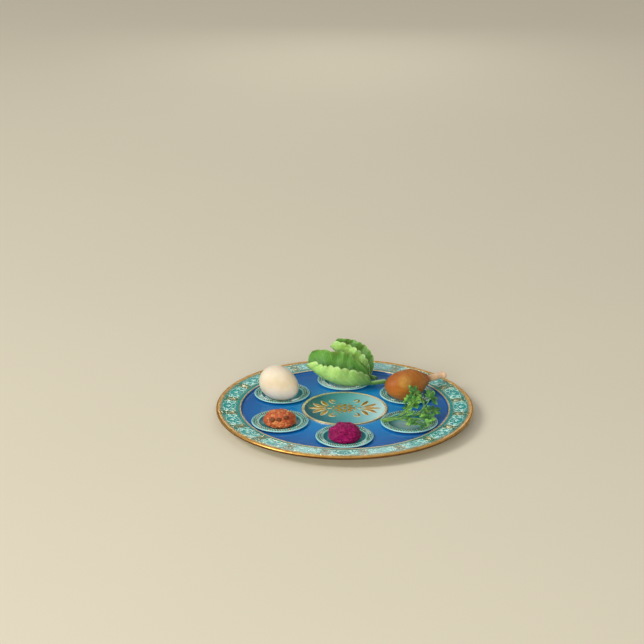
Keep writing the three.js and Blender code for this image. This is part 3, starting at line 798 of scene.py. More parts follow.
class SEDER_OT_filigree(Step, bpy.types.Operator):
    """Lay the raised scrolls of enamel and gold round the rim"""

    bl_idname = "seder.filigree"
    bl_label = "Rim Filigree"

    def build(self, scene, sizes, colours):
        width = sizes.line_width / MM
        height = sizes.line_height / MM
        for name, finish in (
            ("rim_enamel_scrolls", raised_enamel("cream_enamel", colours.mint, colours.enamel)),
            ("rim_gold_palmettes", gilding("rim_gold_lustre", colours.pale_gold)),
        ):
            gold = name == "rim_gold_palmettes"
            shape = Shape()
            for module in range(MODULES):
                middle = tau * (module + (0.5 if gold else 0)) / MODULES + pi / 2

                def to_rim(along, out):
                    turn = middle - along / FILIGREE_MIDDLE
                    radius = FILIGREE_INNER + out
                    return Vector((radius * cos(turn), radius * sin(turn), rim_top(radius)))

                if gold:
                    for line in mirrored(PALMETTE) + [[(0, 4.6), (0, 9), (0, 13.6)]]:
                        stroke(shape, line, to_rim, 0.65 * width, height)
                    for i in range(-4, 5):
                        foot = i * HALF_MODULE * 2 / 9
                        arch = [(foot - 2.6, 21.9), (foot, 20.6 if i else 18.4), (foot + 2.6, 21.9)]
                        stroke(shape, arch, to_rim, 0.8 * width, height, count=8)
                    continue
                for line in mirrored(CARTOUCHE):
                    stroke(shape, line, to_rim, width, height)
                for fan in range(-1, 2):
                    lean = radians(48 * fan)
                    reach = 7 - abs(fan)
                    root = (0.6 * sin(lean), FAN_ROOT)
                    tip = (reach * sin(lean), FAN_ROOT + reach * cos(lean))
                    stroke(shape, [root, tip], to_rim, 1.4 * width, height, 0.7, 6)
                for x, y in CARTOUCHE_PEARLS:
                    for along in {x, -x}:
                        pearl(shape, to_rim(along, y), Vector((1, 0, 0)), 1.2, 1.2, height, 0)
            piece(name, shape, [finish], "plate", crease=80)


# Leaves of a palmette that lies on its side, and the scrolls at its root: a line and its width
PALMETTE_LEAVES = [
    ([(24, 0), (36, 0), (49.5, 0)], 9),
    ([(24, 4), (34.5, 7.6), (43.5, 17)], 8.4),
    ([(24, -4), (34.5, -7.6), (43.5, -17)], 8.4),
    ([(22.4, 7), (27, 15), (32, 26.5)], 8),
    ([(22.4, -7), (27, -15), (32, -26.5)], 8),
    (scroll([(12, 16), (17, 18.4), (19.6, 24)], 1, 4.2, 1.1), 4),
    (scroll([(12, -16), (17, -18.4), (19.6, -24)], -1, 4.2, 1.1), 4),
    ([(17, 0), (20.4, 0), (24, 0)], 6),
]


class SEDER_OT_rosette(Step, bpy.types.Operator):
    """Lay the gold rosette and its two palmettes on the medallion"""

    bl_idname = "seder.rosette"
    bl_label = "Medallion Rosette"

    def build(self, scene, sizes, colours):
        radius = sizes.rosette_radius / MM
        height = 1.4 * sizes.line_height / MM
        finishes = [
            gilding("medallion_gold_lustre", colours.medallion_gold),
            raised_enamel("ivory_enamel", "#cfc690", "#e6dfae"),
        ]
        shape = Shape()

        def to_medallion(x, y):
            return Vector((x, y, MEDALLION_TOP))

        for petal in range(8):
            turn = radians(45 * petal)
            for lean, reach, long, wide in ((0, 0.6, 0.66, 0.4), (radians(22.5), 0.96, 0.26, 0.2)):
                ahead = Vector((cos(turn + lean), sin(turn + lean), 0))
                middle = to_medallion(0, 0) + ahead * (radius * reach)
                pearl(shape, middle, ahead, long * radius, wide * radius, height, 0)
        pearl(shape, to_medallion(0, 0), Vector((1, 0, 0)), 0.42 * radius, 0.42 * radius, 1.2 * height, 0)
        for line, wide in PALMETTE_LEAVES:
            for one in mirrored([line]):
                stroke(shape, one, to_medallion, wide, height, 0.75, 20, flanks=1)
        piece("medallion_gold_rosette", shape, finishes, "plate", crease=80)


# Saucers

# Numbers of a saucer's finishes, in the order of its materials
(TURQUOISE, CLEAR, BARE) = range(3)
PEARL_ROWS = (35.4, 32.9, 30.4)  # radii, from the outer row inwards
PEARL_HEIGHT = 0.35


# Turquoise glaze: dark on the lip and in the cove, pale towards the middle of the dish's floor
@surface(Roughness=0.1, IOR=1.52)
def saucer_glaze(add, where, food):
    middle = saucer_middle(food)
    far, _, _ = from_middle(add, where, (middle.x, middle.y))
    share = add("Math", [far, SAUCER_RADIUS * MM], operation="DIVIDE")
    rings = [
        (0.0, "#a9d0cb"),
        (0.38, "#74b3b4"),
        (0.58, "#1f8a92"),
        (0.73, "#0f7480"),
        (0.745, "#86d2c0"),
        (0.765, "#86d2c0"),
        (0.78, "#0b626c"),
        (0.955, "#0e6c74"),
        (0.965, "#a2dad2"),
    ]
    wash = add("ValToRGB", [share], rings)
    pool = add("TexNoise", {"Vector": where, "Scale": per(14), "Detail": 3.0})
    cloud = add("ValToRGB", [pool], [(0.3, 0.9), (0.7, 1.0)])
    return {
        "Base_Color": add("Mix", {"Factor": 1.0, "A": wash, "B": cloud}, **SHADES),
        "Normal": glaze_relief(add, where),
    }


def saucer_profile():
    """A saucer's half section above its foot's underside."""
    lip_inner_top = SAUCER_HEIGHT - SAUCER_LIP_FALL
    foot_inner = SAUCER_FOOT_RADIUS - SAUCER_FOOT_WIDTH
    return eased(
        [
            (0, SAUCER_FOOT_RECESS, 0, CLEAR),
            (foot_inner, SAUCER_FOOT_RECESS, 0.3, CLEAR),
            (foot_inner + SAUCER_FOOT_RECESS, 0, 0.3, BARE),
            (SAUCER_FOOT_RADIUS, 0, 0.4, CLEAR),
            (SAUCER_FOOT_RADIUS, SAUCER_UNDER, 1, CLEAR),
            (SAUCER_RADIUS - 1, SAUCER_HEIGHT - SAUCER_WALL, 1.2, CLEAR),
            (SAUCER_RADIUS, SAUCER_HEIGHT - 1.2, 0.6, TURQUOISE),
            (SAUCER_RADIUS, SAUCER_HEIGHT - 0.6, 0.4, TURQUOISE),
            (SAUCER_RADIUS - 1.2, SAUCER_HEIGHT, 0.8, TURQUOISE),
            (SAUCER_LIP_INNER, lip_inner_top, 1.6, TURQUOISE),
            (SAUCER_LIP_INNER - 1.5, (lip_inner_top + SAUCER_WALL) / 2, 1.2, TURQUOISE),
            (SAUCER_FLOOR_RADIUS, SAUCER_WALL + 0.1, 2.5, TURQUOISE),
            (SAUCER_FLOOR_RADIUS / 2, SAUCER_WALL, 3, TURQUOISE),
            (0, SAUCER_WALL, 0, TURQUOISE),
        ]
    )


def lip_top(radius):
    """The height of a saucer's lip above its foot's underside."""
    share = (SAUCER_RADIUS - 1.2 - radius) / (SAUCER_RADIUS - 1.2 - SAUCER_LIP_INNER)
    return SAUCER_HEIGHT - SAUCER_LIP_FALL * share


class SEDER_OT_saucers(Step, bpy.types.Operator):
    """Turn the six saucers and set the rows of pearls on their lips"""

    bl_idname = "seder.saucers"
    bl_label = "Saucers"

    def build(self, scene, sizes, colours):
        long = sizes.pearl_length / MM
        enamel = raised_enamel("mint_enamel", "#6fd0ae", "#aaecca")
        gold = gilding("pearl_gold_lustre", colours.pale_gold)
        white = white_porcelain("clear_glazed_porcelain")
        bare = biscuit("unglazed_biscuit")
        for food in SAUCERS:
            body = "saucer_" + food
            middle = saucer_middle(food)
            shape = Shape(*turned(saucer_profile(), SAUCER_SIDES, middle))
            finishes = [saucer_glaze("turquoise_glaze_" + food, food), white, bare]
            piece("dish_" + food, shape, finishes, body, [body])
            pearls = Shape()
            for row, radius in enumerate(PEARL_ROWS):
                count = round(sizes.pearls * radius / PEARL_ROWS[0])
                gold_every = 2 if row == 1 else 4
                for i in range(count):
                    turn = tau * (i + row / 2) / count
                    out = Vector((cos(turn), sin(turn), 0))
                    lean = turn + radians(90 + (28 if row % 2 else -28))
                    ahead = Vector((cos(lean), sin(lean), 0))
                    at = middle + out * radius + Vector((0, 0, lip_top(radius)))
                    pearl(pearls, at, ahead, long, 0.46 * long, PEARL_HEIGHT, int(i % gold_every == 0))
            piece("pearls_" + food, pearls, [enamel, gold], body, crease=80)


# Egg


# A hen's eggshell: satin, faintly translucent, warmer in patches, with pores about half a millimetre apart
@surface(IOR=1.45, Subsurface_Weight=0.35, Subsurface_Scale=0.01)
def eggshell(add, where, colours):
    patch = add("TexNoise", {"Vector": where, "Scale": per(26), "Detail": 3.0})
    tint = add("ValToRGB", [patch], [(0.3, "#dcc9a4"), (0.5, colours.shell), (0.7, "#e9e0cd")])
    pores = add("TexNoise", {"Vector": where, "Scale": per(0.55), "Detail": 1.0})
    dots = add("ValToRGB", [pores], [(0.28, 0.88), (0.36, 1.0)])
    return {
        "Base_Color": add("Mix", {"Factor": 1.0, "A": tint, "B": dots}, **SHADES),
        "Roughness": add("ValToRGB", [pores], [(0.3, 0.52), (0.7, 0.4)]),
        "Normal": add("Bump", {"Height": pores, "Distance": 0.035 * MM}),
    }


class SEDER_OT_egg(Step, bpy.types.Operator):
    """Make the egg"""

    bl_idname = "seder.egg"
    bl_label = "Egg"

    def build(self, scene, sizes, colours):
        steps = 64
        half = EGG_LENGTH / 2
        rings = []
        for step in range(1, steps):
            along = -cos(pi * step / steps)
            radius = EGG_WIDTH / 2 * sqrt(1 - along**2) * (1 - EGG_TAPER * along)
            rings.append([Vector((radius * x, -radius * y, half * along)) for x, y in circle(FOOD_SIDES)])
        shape = Shape(*skin(rings, Vector((0, 0, -half)), Vector((0, 0, half))))
        turn = tilt(-EGG_YAW, 90 + EGG_DIP)
        stand = Matrix.Translation(saucer_middle("egg") + Vector((*EGG_PLACE, 0)))
        shape.moved(stand @ turn).lowered("egg")
        piece("hen_egg", shape, [eggshell("hen_eggshell", colours)], "egg", ["egg"])


# Shank


# Roasted meat: evenly browned and slightly greasy, with a paler patch on the upper side of its thick end that
# is a painted highlight, and darker in its creases and at its neck, which is painted shade
@surface(IOR=1.45, Subsurface_Weight=0.04, Subsurface_Scale=0.003)
def roasted_meat(add, where, colours):
    patch = add("TexNoise", {"Vector": where, "Scale": per(46), "Detail": 0.0})
    even = add("ValToRGB", [patch], [(0.3, "#a65a1a"), (0.6, colours.meat)])
    # A painted highlight: a lighter patch on the upper side of the thick end
    pale = add("Attribute", attribute_name="pale").outputs["Fac"]
    brown = add("Mix", {"Factor": pale, "A": even, "B": "#c48c3c"}, **COLOURS)
    # Painted shade: darker in the wrinkles and at the neck, where the meat turns in to the bone
    crease = add("Attribute", attribute_name="crease").outputs["Fac"]
    creased = add("Mix", {"Factor": crease, "A": brown, "B": "#7a3f12"}, **COLOURS)
    fine = add("TexNoise", {"Vector": where, "Scale": per(1.4), "Detail": 4.0, "Roughness": 0.6})
    spots = add("ValToRGB", [fine], [(0.34, 0.84), (0.5, 1.0)])
    return {
        "Base_Color": add("Mix", {"Factor": 1.0, "A": creased, "B": spots}, **SHADES),
        "Roughness": add("ValToRGB", [fine], [(0.3, 0.6), (0.7, 0.42)]),
        "Normal": add("Bump", {"Height": fine, "Distance": 0.16 * MM}),
    }


# Cooked bone: pale and satin, with fine pores and a brown stain where it leaves the meat
@surface(Roughness=0.45, IOR=1.5, Subsurface_Weight=0.1, Subsurface_Scale=0.002)
def cooked_bone(add, where):
    stain = add("Attribute", attribute_name="stain").outputs["Fac"]
    patch = add("TexNoise", {"Vector": where, "Scale": per(9), "Detail": 3.0})
    pale = add("ValToRGB", [patch], [(0.3, "#e0b088"), (0.65, "#f2d0aa")])
    stained = add("Mix", {"Factor": stain, "A": pale, "B": "#a0683a"}, **COLOURS)
    pores = add("TexNoise", {"Vector": where, "Scale": per(0.8), "Detail": 3.0})
    dots = add("ValToRGB", [pores], [(0.3, 0.75), (0.4, 1.0)])
    return {
        "Base_Color": add("Mix", {"Factor": 1.0, "A": stained, "B": dots}, **SHADES),
        "Normal": add("Bump", {"Height": pores, "Distance": 0.1 * MM}),
    }


def meat_shape():
    """The meat along +X from its thick end, drawn in round the bone at its neck."""
    steps = 96
    neck = 0.93  # where the meat turns in towards the bone
    rings = []
    creases = []
    painted_highlights = []
    for step in range(1, steps + 1):
        along = step / steps
        thick_end = MEAT_RADIUS * sqrt(1 - max(0, 1 - along / MEAT_WIDEST) ** 2)
        towards_neck = max(0, (along - MEAT_WIDEST) / (1 - MEAT_WIDEST)) ** 1.5
        slimming = (MEAT_RADIUS - MEAT_NECK_RADIUS) * (1 - cos(pi * towards_neck)) / 2
        rolled = max(0, (along - neck) / (1 - neck))
        base = (thick_end - slimming) * (1 - 0.5 * rolled**2)
        ring = []
        for side in range(FOOD_SIDES):
            turn = tau * side / FOOD_SIDES
            muscle = 1 + 0.035 * cos(3 * turn + 2 * along) + 0.02 * cos(2 * turn - 5 * along)
            out = Vector((0, cos(turn), sin(turn)))
            spot = Vector((along * 5, *(out.yz * 2.2)))
            ridge = abs(noise.noise(spot * 1.1))
            wrinkle = max(0.0, 1 - ridge / 0.09) * min(1, 6 * along)
            pucker = 0.5 * sin(9 * turn + 3 * sin(turn)) * max(0, along - 0.72) / 0.28
            radius = base * muscle - 0.4 * wrinkle + 0.6 * noise.noise(spot * 2.6) + pucker
            x = min(along, neck + 0.04) * MEAT_LENGTH - 1.5 * rolled**2
            ring.append(Vector((x, radius * out.y, radius * MEAT_FLATTENING * out.z)))
            # Painted shade in the wrinkles and at the neck
            creases.append(0.25 * wrinkle + 0.5 * rolled)
            # Painted highlight: an oval on the upper side near the thick end
            from_highlight = hypot((along - 0.21) / 0.15, (degrees(turn) - 142) / 38)
            painted_highlights.append(min(0.85, max(0.0, 2.2 * (1 - from_highlight))))
        rings.append(ring)
    ends = Vector((0, 0, 0)), Vector((rings[-1][0].x - 2, 0, 0))
    return *skin(rings, *ends), {"crease": [*creases, 0.0, 1.0], "pale": [*painted_highlights, 0.0, 0.0]}


def bone_shape():
    """The bone along +X from its end in the meat, with two knuckles at the bare end."""
    shaft_end = BONE_LENGTH - KNUCKLE_RADIUS
    rings = []
    stains = []
    stops = [0, 0.6, 1.5, *(BONE_LENGTH * i / 60 for i in range(2, 54))]
    stops += [shaft_end + KNUCKLE_RADIUS * sin(radians(turn)) for turn in range(-24, 88, 6)]
    for x in sorted(stops):
        waist = BONE_RADIUS * (1.04 + 0.04 * (2 * x / BONE_LENGTH - 1) ** 4)
        slice_radius = sqrt(max(0, KNUCKLE_RADIUS**2 - (x - shaft_end) ** 2))
        shaft = waist * min(1, sqrt(max(0, (BONE_LENGTH - 1.2 - x) / 3)))
        ring = []
        for y, z in circle(48):
            reach = abs(y) * KNUCKLE_SPREAD
            reach += sqrt(max(0, slice_radius**2 - (KNUCKLE_SPREAD * z) ** 2))
            swollen = reach if abs(x - shaft_end) < KNUCKLE_RADIUS else 0
            radius = max(shaft, swollen, 0.3)
            radius += 0.12 * noise.noise(Vector((x / 4, y * 2, z * 2)))
            ring.append(Vector((x, radius * y, -radius * z)))
            stains.append(max(0.0, 1 - abs(x - BONE_IN_MEAT) / 9))
        rings.append(ring)
    return *skin(rings), stains


class SEDER_OT_shank(Step, bpy.types.Operator):
    """Make the roasted shank and its bone"""

    bl_idname = "seder.shank"
    bl_label = "Shank"

    def build(self, scene, sizes, colours):
        turn = tilt(SHANK_YAW, SHANK_DIP)
        widest = turn @ Vector((MEAT_LENGTH * MEAT_WIDEST, 0, 0))
        start = saucer_middle("shank") + Vector((*SHANK_PLACE, 0)) - widest
        points, faces, values = meat_shape()
        meat = Shape(points, faces, **values)
        meat.moved(Matrix.Translation(start) @ turn).lowered("shank_meat")
        finish = roasted_meat("roasted_meat", colours)
        piece("roasted_shank", meat, [finish], "shank", ["shank_meat"], crease=70)
        points, faces, stains = bone_shape()
        bone = Shape(points, faces, stain=stains)
        shift = Matrix.Translation((MEAT_LENGTH - BONE_IN_MEAT, 0, 0))
        bone.moved(Matrix.Translation(start) @ turn @ shift).lowered("shank_bone")
        finish = cooked_bone("cooked_bone")
        piece("shank_bone_knuckled", bone, [finish], "shank", ["shank_bone"], crease=70)


# Lettuce

# near and far are a leaf's two halves: the angle that each opens to at the rib and at the edge, in degrees,
# its share of the width, and how deep its scallops are
OUTER_LEAF = {
    "rib": [(44, -4, 8), (31, 5, 10), (12, 14, 21), (-6, 20, 34), (-20, 25, 46)],
    "up": (0.62, -0.1, 0.78),
    "width": 60,
    "stalk": 0.14,
    "near": (55, -25, 0.87, 0.1),
    "far": (60, 15, 1.1, 0.05),
    "ruffle": 2.2,
    "ruffles": 7,
    "skew": 0.0,
    "tip_rise": 0.0,
}
INNER_LEAF = {
    "rib": [(57, -15, 8), (34, -23, 8), (4, -29, 9), (-26, -22, 15), (-50, -6, 27)],
    "up": (0, 0, 1),
    "width": 70,
    "stalk": 0.19,
    "near": (75, -20, 0.92, 0.11),
    "far": (65, 5, 1.3, 0.04),
    "ruffle": 2.2,
    "ruffles": 8,
    "skew": 0.6,
    "tip_rise": 0.5,
}
LEAF_VEINS = 9  # side veins on each half of a lettuce leaf
VEIN_LEAN = 2.6  # how many veins' spacing a side vein runs forward on its way to the edge


# Lettuce leaf: waxy and satin, with pale veins, a fine net between them, and some light passing through
@surface(IOR=1.45, Subsurface_Weight=0.25, Subsurface_Scale=0.004)
def lettuce_leaf(add, where, dark, light, vein_colour):
    along = add("Attribute", attribute_name="along").outputs["Fac"]
    out = add("Attribute", attribute_name="out").outputs["Fac"]
    row = add("Math", [along, LEAF_VEINS], operation="MULTIPLY")
    lean = add("Math", [out, VEIN_LEAN], operation="MULTIPLY")
    lines = add("Math", [row, lean], operation="SUBTRACT")
    drift = add("TexNoise", {"Vector": where, "Scale": per(12)})
    wander = add("Math", [drift, 0.4], operation="MULTIPLY")
    shifted = add("Math", [lines, wander], operation="ADD")
    beside = add("Math", [shifted, 0.5], operation="PINGPONG")
    side_vein = add("ValToRGB", [beside], [(0.01, 0.5), (0.045, 0.0)])
    rib = add("ValToRGB", [out], [(0.02, 0.9), (0.07, 0.0)])
    veins = add("Math", [side_vein, rib], operation="MAXIMUM")
    net = add("TexVoronoi", {"Vector": where, "Scale": per(3.4)}, feature="DISTANCE_TO_EDGE")
    fine = add("ValToRGB", [net], [(0.02, 0.16), (0.09, 0.0)])
    margin = add("ValToRGB", [out], [(0.9, 0.0), (1.0, 0.45)])
    inner = add("Math", [veins, fine], operation="MAXIMUM")
    drawn = add("Math", [inner, margin], operation="MAXIMUM")
    patch = add("TexNoise", {"Vector": where, "Scale": per(20), "Detail": 3.0})
    flush = add("MapRange", {"Value": patch, "From Min": 0.3, "From Max": 0.7})
    young = add("Mix", {"Factor": flush, "A": dark, "B": light}, **COLOURS)
    near_stalk = add("ValToRGB", [along], [(0.02, 0.9), (0.58, 0.0)])
    blade = add("Mix", {"Factor": near_stalk, "A": young, "B": "#3f7a2b"}, **COLOURS)
    flat = add("Math", [1.0, fine], operation="SUBTRACT")
    return {
        "Base_Color": add("Mix", {"Factor": drawn, "A": blade, "B": vein_colour}, **COLOURS),
        "Roughness": add("ValToRGB", [drawn], [(0.0, 0.5), (1.0, 0.36)]),
        "Normal": add("Bump", {"Height": flat, "Distance": 0.12 * MM}),
    }


def sheet(upper, lower):
    """A closed sheet between two grids of points, with finish 0 on its upper side and 1 elsewhere."""
    rows = len(upper)
    columns = len(upper[0])

    def top(row, column):
        return row * columns + column

    def bottom(row, column):
        return (rows + row) * columns + column

    above = []
    below = []
    for row in range(rows - 1):
        for column in range(columns - 1):
            a, b, c, d = (row, column), (row, column + 1), (row + 1, column + 1), (row + 1, column)
            above.append([top(*a), top(*b), top(*c), top(*d)])
            below.append([bottom(*a), bottom(*d), bottom(*c), bottom(*b)])
        end = columns - 1
        below.append([top(row, 0), top(row + 1, 0), bottom(row + 1, 0), bottom(row, 0)])
        below.append([top(row + 1, end), top(row, end), bottom(row, end), bottom(row + 1, end)])
    for column in range(columns - 1):
        end = rows - 1
        below.append([top(0, column + 1), top(0, column), bottom(0, column), bottom(0, column + 1)])
        below.append([top(end, column), top(end, column + 1), bottom(end, column + 1), bottom(end, column)])
    points = [point for grid in (upper, lower) for line in grid for point in line]
    return points, above + below, [0] * len(above) + [1] * len(below)


def lettuce_shape(rib, up, width, stalk, near, far, ruffle, ruffles, skew, tip_rise, thickness):
    """A leaf folded along its rib, with raised veins and a frilled edge."""
    steps = 150
    across = 26
    path = smooth_path(rib, steps)
    inside, outside, along_values, out_values = [], [], [], []
    for i, (middle, forward) in enumerate(zip(path, headings(path))):
        at = i / steps
        share = max(0.0, (at - stalk) / (1 - stalk))
        opening = Vector(up) - forward * forward.dot(Vector(up))
        opening.normalize()
        aside = forward.cross(opening)
        reach = width / 2 * sin(pi * (0.93 * share) ** 0.85) ** 0.5
        bow = abs(sin(1.1 * ruffles * pi * share)) ** 0.7
        end_turn = max(0.0, (share - 0.6) / 0.4) ** 1.5 * skew * reach
        rib_radius = LEAF_RIB_RADIUS + (LEAF_RIB_TIP_RADIUS - LEAF_RIB_RADIUS) * at
        tip = max(0.0, (share - 0.75) / 0.25) ** 2
        halves = []
        for side, (start, end, part, scallops) in ((-1, near), (1, far)):
            if side < 0:
                part *= 1 + tip_rise * tip
            point = middle.copy()
            half = []
            for j in range(across):
                out = (j + 1) / across
                angle = radians(start + (end - start) * (out - 0.5 / across))
                frilled = 1 + 4 * scallops * bow * out**3
                stride = max(reach * part * frilled, rib_radius) / across
                sideways = aside * (side * stride * sin(angle))
                point = point + sideways + opening * (stride * cos(angle))
                facing = opening * sin(angle) - aside * (side * cos(angle))
                ripple = sin(ruffles * pi * share + side)
                wave = ruffle * min(1, 3 * share) * (1 - tip) * out**2 * ripple
                fine_ripple = sin(3.3 * ruffles * pi * share + 2 * side)
                frill = 0.45 * min(1, 4 * share) * out**5 * fine_ripple
                lines = share * LEAF_VEINS - out * VEIN_LEAN
                vein = max(0.0, 1 - abs(lines - round(lines)) / 0.12) * (1 - 0.7 * out) * min(1, 5 * share)
                blister = 0.45 * noise.noise(point / 4.5) * min(1, 4 * share) * min(1, 4 * out)
                lift = wave + frill + blister - 0.5 * vein
                bulge = rib_radius * max(0, 1 - 3 * out * reach / width)
                above = thickness / 2 + (rib_radius * 0.7 if share == 0 else 0)
                turned_end = forward * (end_turn * (side * out + 0.5 * sin(pi * out)))
                half.append(
                    (
                        point + turned_end + facing * (lift + above),
                        point + turned_end + facing * (lift - thickness / 2 - bulge),
                        out,
                    )
                )
            halves.append(half)
        crest_top = middle + opening * (thickness / 2 if share > 0 else rib_radius)
        crest = (crest_top, middle - opening * (thickness / 2 + rib_radius), 0.0)
        section = [*halves[0][::-1], crest, *halves[1]]
        inside.append([top for top, _, _ in section])
        outside.append([under for _, under, _ in section])
        along_values += [share] * len(section)
        out_values += [out for _, _, out in section]
    return Shape(*sheet(inside, outside), along=along_values * 2, out=out_values * 2)


class SEDER_OT_lettuce(Step, bpy.types.Operator):
    """Make the two folded lettuce leaves"""

    bl_idname = "seder.lettuce"
    bl_label = "Lettuce"

    def build(self, scene, sizes, colours):
        thickness = sizes.leaf_thickness / MM
        middle = saucer_middle("lettuce")
        for name, leaf, node, slot, shade in (
            ("lettuce_back_leaf", OUTER_LEAF, "lettuce_outer_leaf", "outer_leaf", "#76a634"),
            ("lettuce_front_leaf", INNER_LEAF, "lettuce_inner_leaf", "inner_leaf", "#a0d168"),
        ):
            shape = lettuce_shape(**leaf, thickness=thickness).moved(Matrix.Translation(middle)).lowered(node)
            inner = lettuce_leaf(name + "_face", "#558f36", colours.lettuce_dark, "#9cc46c")
            outer = lettuce_leaf(name + "_underside", shade, colours.lettuce, "#cbe3a0")
            piece(name, shape, [inner, outer], "lettuce", [node], crease=75)


# Parsley

LEAVES_FACE = Vector((0, -0.5, 0.87))  # where the leaves turn their upper sides
# Each stalk of a sprig: its points from the foot, and the size of its leaves
PARSLEY_SPRIGS = {
    "parsley_sprig_low": [
        ([(-39, -13, 8), (-20, -11, 9), (-2, -12, 10), (12, -21, 10), (19, -29, 10.5)], 1.1),
        ([(-20, -11, 9), (-8, -17, 9), (-1, -25, 10.5)], 0.95),
        ([(-2, -12, 10), (5, -22, 10), (9, -29, 10.5)], 1),
        ([(-2, -12, 10), (12, -15, 10), (24, -18, 11)], 1.1),
    ],
    "parsley_sprig_side": [
        ([(-35, -6, 8), (-14, -4, 11), (6, 1, 14), (20, 13, 21), (29, 26, 29)], 1.4),
        ([(6, 1, 14), (20, 7, 15), (31, 15, 16)], 1.35),
        ([(6, 1, 14), (14, -1, 17), (21, -2, 18)], 1.15),
        ([(20, 13, 21), (20, 19, 24), (18, 25, 27)], 0.9),
        ([(-14, -4, 11), (-7, -3, 15), (-1, -2, 18)], 0.8),
    ],
    "parsley_sprig_tall": [
        ([(-34, 2, 8), (-14, 4, 11), (-1, 11, 17), (5, 23, 26), (8, 33, 33)], 1.3),
        ([(-1, 11, 17), (-1, 19, 22), (1, 25, 27)], 1.1),
        ([(-14, 4, 11), (-7, 11, 15), (-3, 16, 18.5)], 1),
        ([(-1, 11, 17), (3, 14, 22), (7, 16, 26)], 1.05),
    ],
}


# Parsley leaf: thin and satin, bright on its lobes and darker between them and at its base, which is painted
# shade
@surface(Roughness=0.45, IOR=1.45, Subsurface_Weight=0.2, Subsurface_Scale=0.002)
def parsley_leaf(add, where, colours):
    # Painted shade between the lobes and at the leaf's base
    fold = add("Attribute", attribute_name="fold").outputs["Fac"]
    patch = add("TexNoise", {"Vector": where, "Scale": per(8)})
    tone = add("ValToRGB", [patch], [(0.36, "#275c26"), (0.5, colours.parsley), (0.62, "#86c24c")])
    grain = add("TexNoise", {"Vector": where, "Scale": per(0.9), "Detail": 3.0})
    return {
        "Base_Color": add("Mix", {"Factor": fold, "A": tone, "B": "#234f20"}, **COLOURS),
        "Normal": add("Bump", {"Height": grain, "Distance": 0.12 * MM}),
    }


# Parsley stalk: juicy, pale green, with fine grooves along it
@surface(Roughness=0.38, IOR=1.45, Subsurface_Weight=0.2, Subsurface_Scale=0.002)
def parsley_stalk(add, where):
    patch = add("TexNoise", {"Vector": where, "Scale": per(6), "Detail": 3.0})
    grooves = add("TexNoise", {"Vector": where, "Scale": per(0.6)})
    return {
        "Base_Color": add("ValToRGB", [patch], [(0.3, "#3f752f"), (0.7, "#82ae56")]),
        "Normal": add("Bump", {"Height": grooves, "Distance": 0.1 * MM}),
    }


def leaf_with_lobes(shape, base, ahead, facing, long, thickness, phase):
    """A leaf of five toothed lobes of uneven length, each cupped, that fan out from its stalk."""
    rows = 8
    columns = 50
    spread = radians(118)
    aside = facing.cross(ahead).normalized()
    upper, lower, fold_shades = [], [], []
    for i in range(rows + 1):
        out = 0.06 + 0.94 * i / rows
        top, under = [], []
        for j in range(columns + 1):
            across = 2 * j / columns - 1
            lobe = abs(cos(2.5 * pi * across)) ** 0.6
            teeth = abs(cos(7.5 * pi * across)) ** 0.6
            uneven = 1 - 0.3 * across**2 + 0.16 * sin(phase + 5 * across)
            edge = (0.48 + 0.52 * lobe) * uneven * (0.8 + 0.2 * teeth)
            reach = out * long * edge
            x = reach * cos(spread * across)
            y = reach * sin(spread * across)
            cup = 0.1 * long * out * (lobe - 0.5) + 0.04 * long * out**2 * sin(7 * across + phase)
            z = cup - 0.22 * y**2 / long - 0.2 * max(x, 0) ** 2 / long
            spot = base + ahead * x + aside * y + facing * z
            top.append(spot + facing * (thickness / 2))
            under.append(spot - facing * (thickness / 2))
            # Painted shade, darkest at the leaf's base and in the notches between its lobes
            fold_shades.append(min(1.0, max(0.0, 1.15 - 1.4 * out) * 0.7 + 0.8 * (1 - lobe) ** 2))
        upper.append(top)
        lower.append(under)
    points, faces, _ = sheet(upper, lower)
    shape.add(points, faces, 0, fold=fold_shades * 2)


class SEDER_OT_parsley(Step, bpy.types.Operator):
    """Make the three sprigs of parsley"""

    bl_idname = "seder.parsley"
    bl_label = "Parsley"

    def build(self, scene, sizes, colours):
        thickness = sizes.leaflet_thickness / MM
        finishes = [parsley_leaf("parsley_leaf", colours), parsley_stalk("parsley_stalk")]
        stand = Matrix.Translation(saucer_middle("parsley"))
        for node, stalks in PARSLEY_SPRIGS.items():
            shape = Shape()
            for number, (points, size) in enumerate(stalks):
                path = smooth_path(points, 28)
                widths = [(STEM_RADIUS * (1 - 0.4 * i / 28),) * 2 for i in range(29)]
                shape.add(*swept(path, circle(10), widths), 1)
                ahead = headings(path)[-1]
                facing = ahead.cross(LEAVES_FACE.cross(ahead)).normalized()
                facing = Matrix.Rotation(radians(38 * sin(2.4 * number + 0.6)), 3, ahead) @ facing
                long = size * LEAFLET_LENGTH
                side = 1 if number % 2 else -1
                for back, turn, share in ((0, 0, 1.08), (8, 66 * side, 0.66)):
                    base = path[len(path) - 1 - back] + facing * (0.3 * (back > 0))
                    lean = Matrix.Rotation(radians(turn), 3, facing) @ ahead
                    if back:
                        leaf_stalk = [base, base + lean * (0.12 * long), base + lean * (0.3 * long)]
                        slimming = [(0.5, 0.5), (0.45, 0.45), (0.3, 0.3)]
                        shape.add(*swept(leaf_stalk, circle(6), slimming, facing), 1)
                        base = base + lean * (0.22 * long)
                    leaf_with_lobes(shape, base, lean, facing, share * long, thickness, 2.1 * number + turn)
            shape.moved(stand).lowered(node)
            name = node.replace("parsley_", "curled_")
            piece(name, shape, finishes, "parsley", [node], crease=75)


# Charoset and horseradish


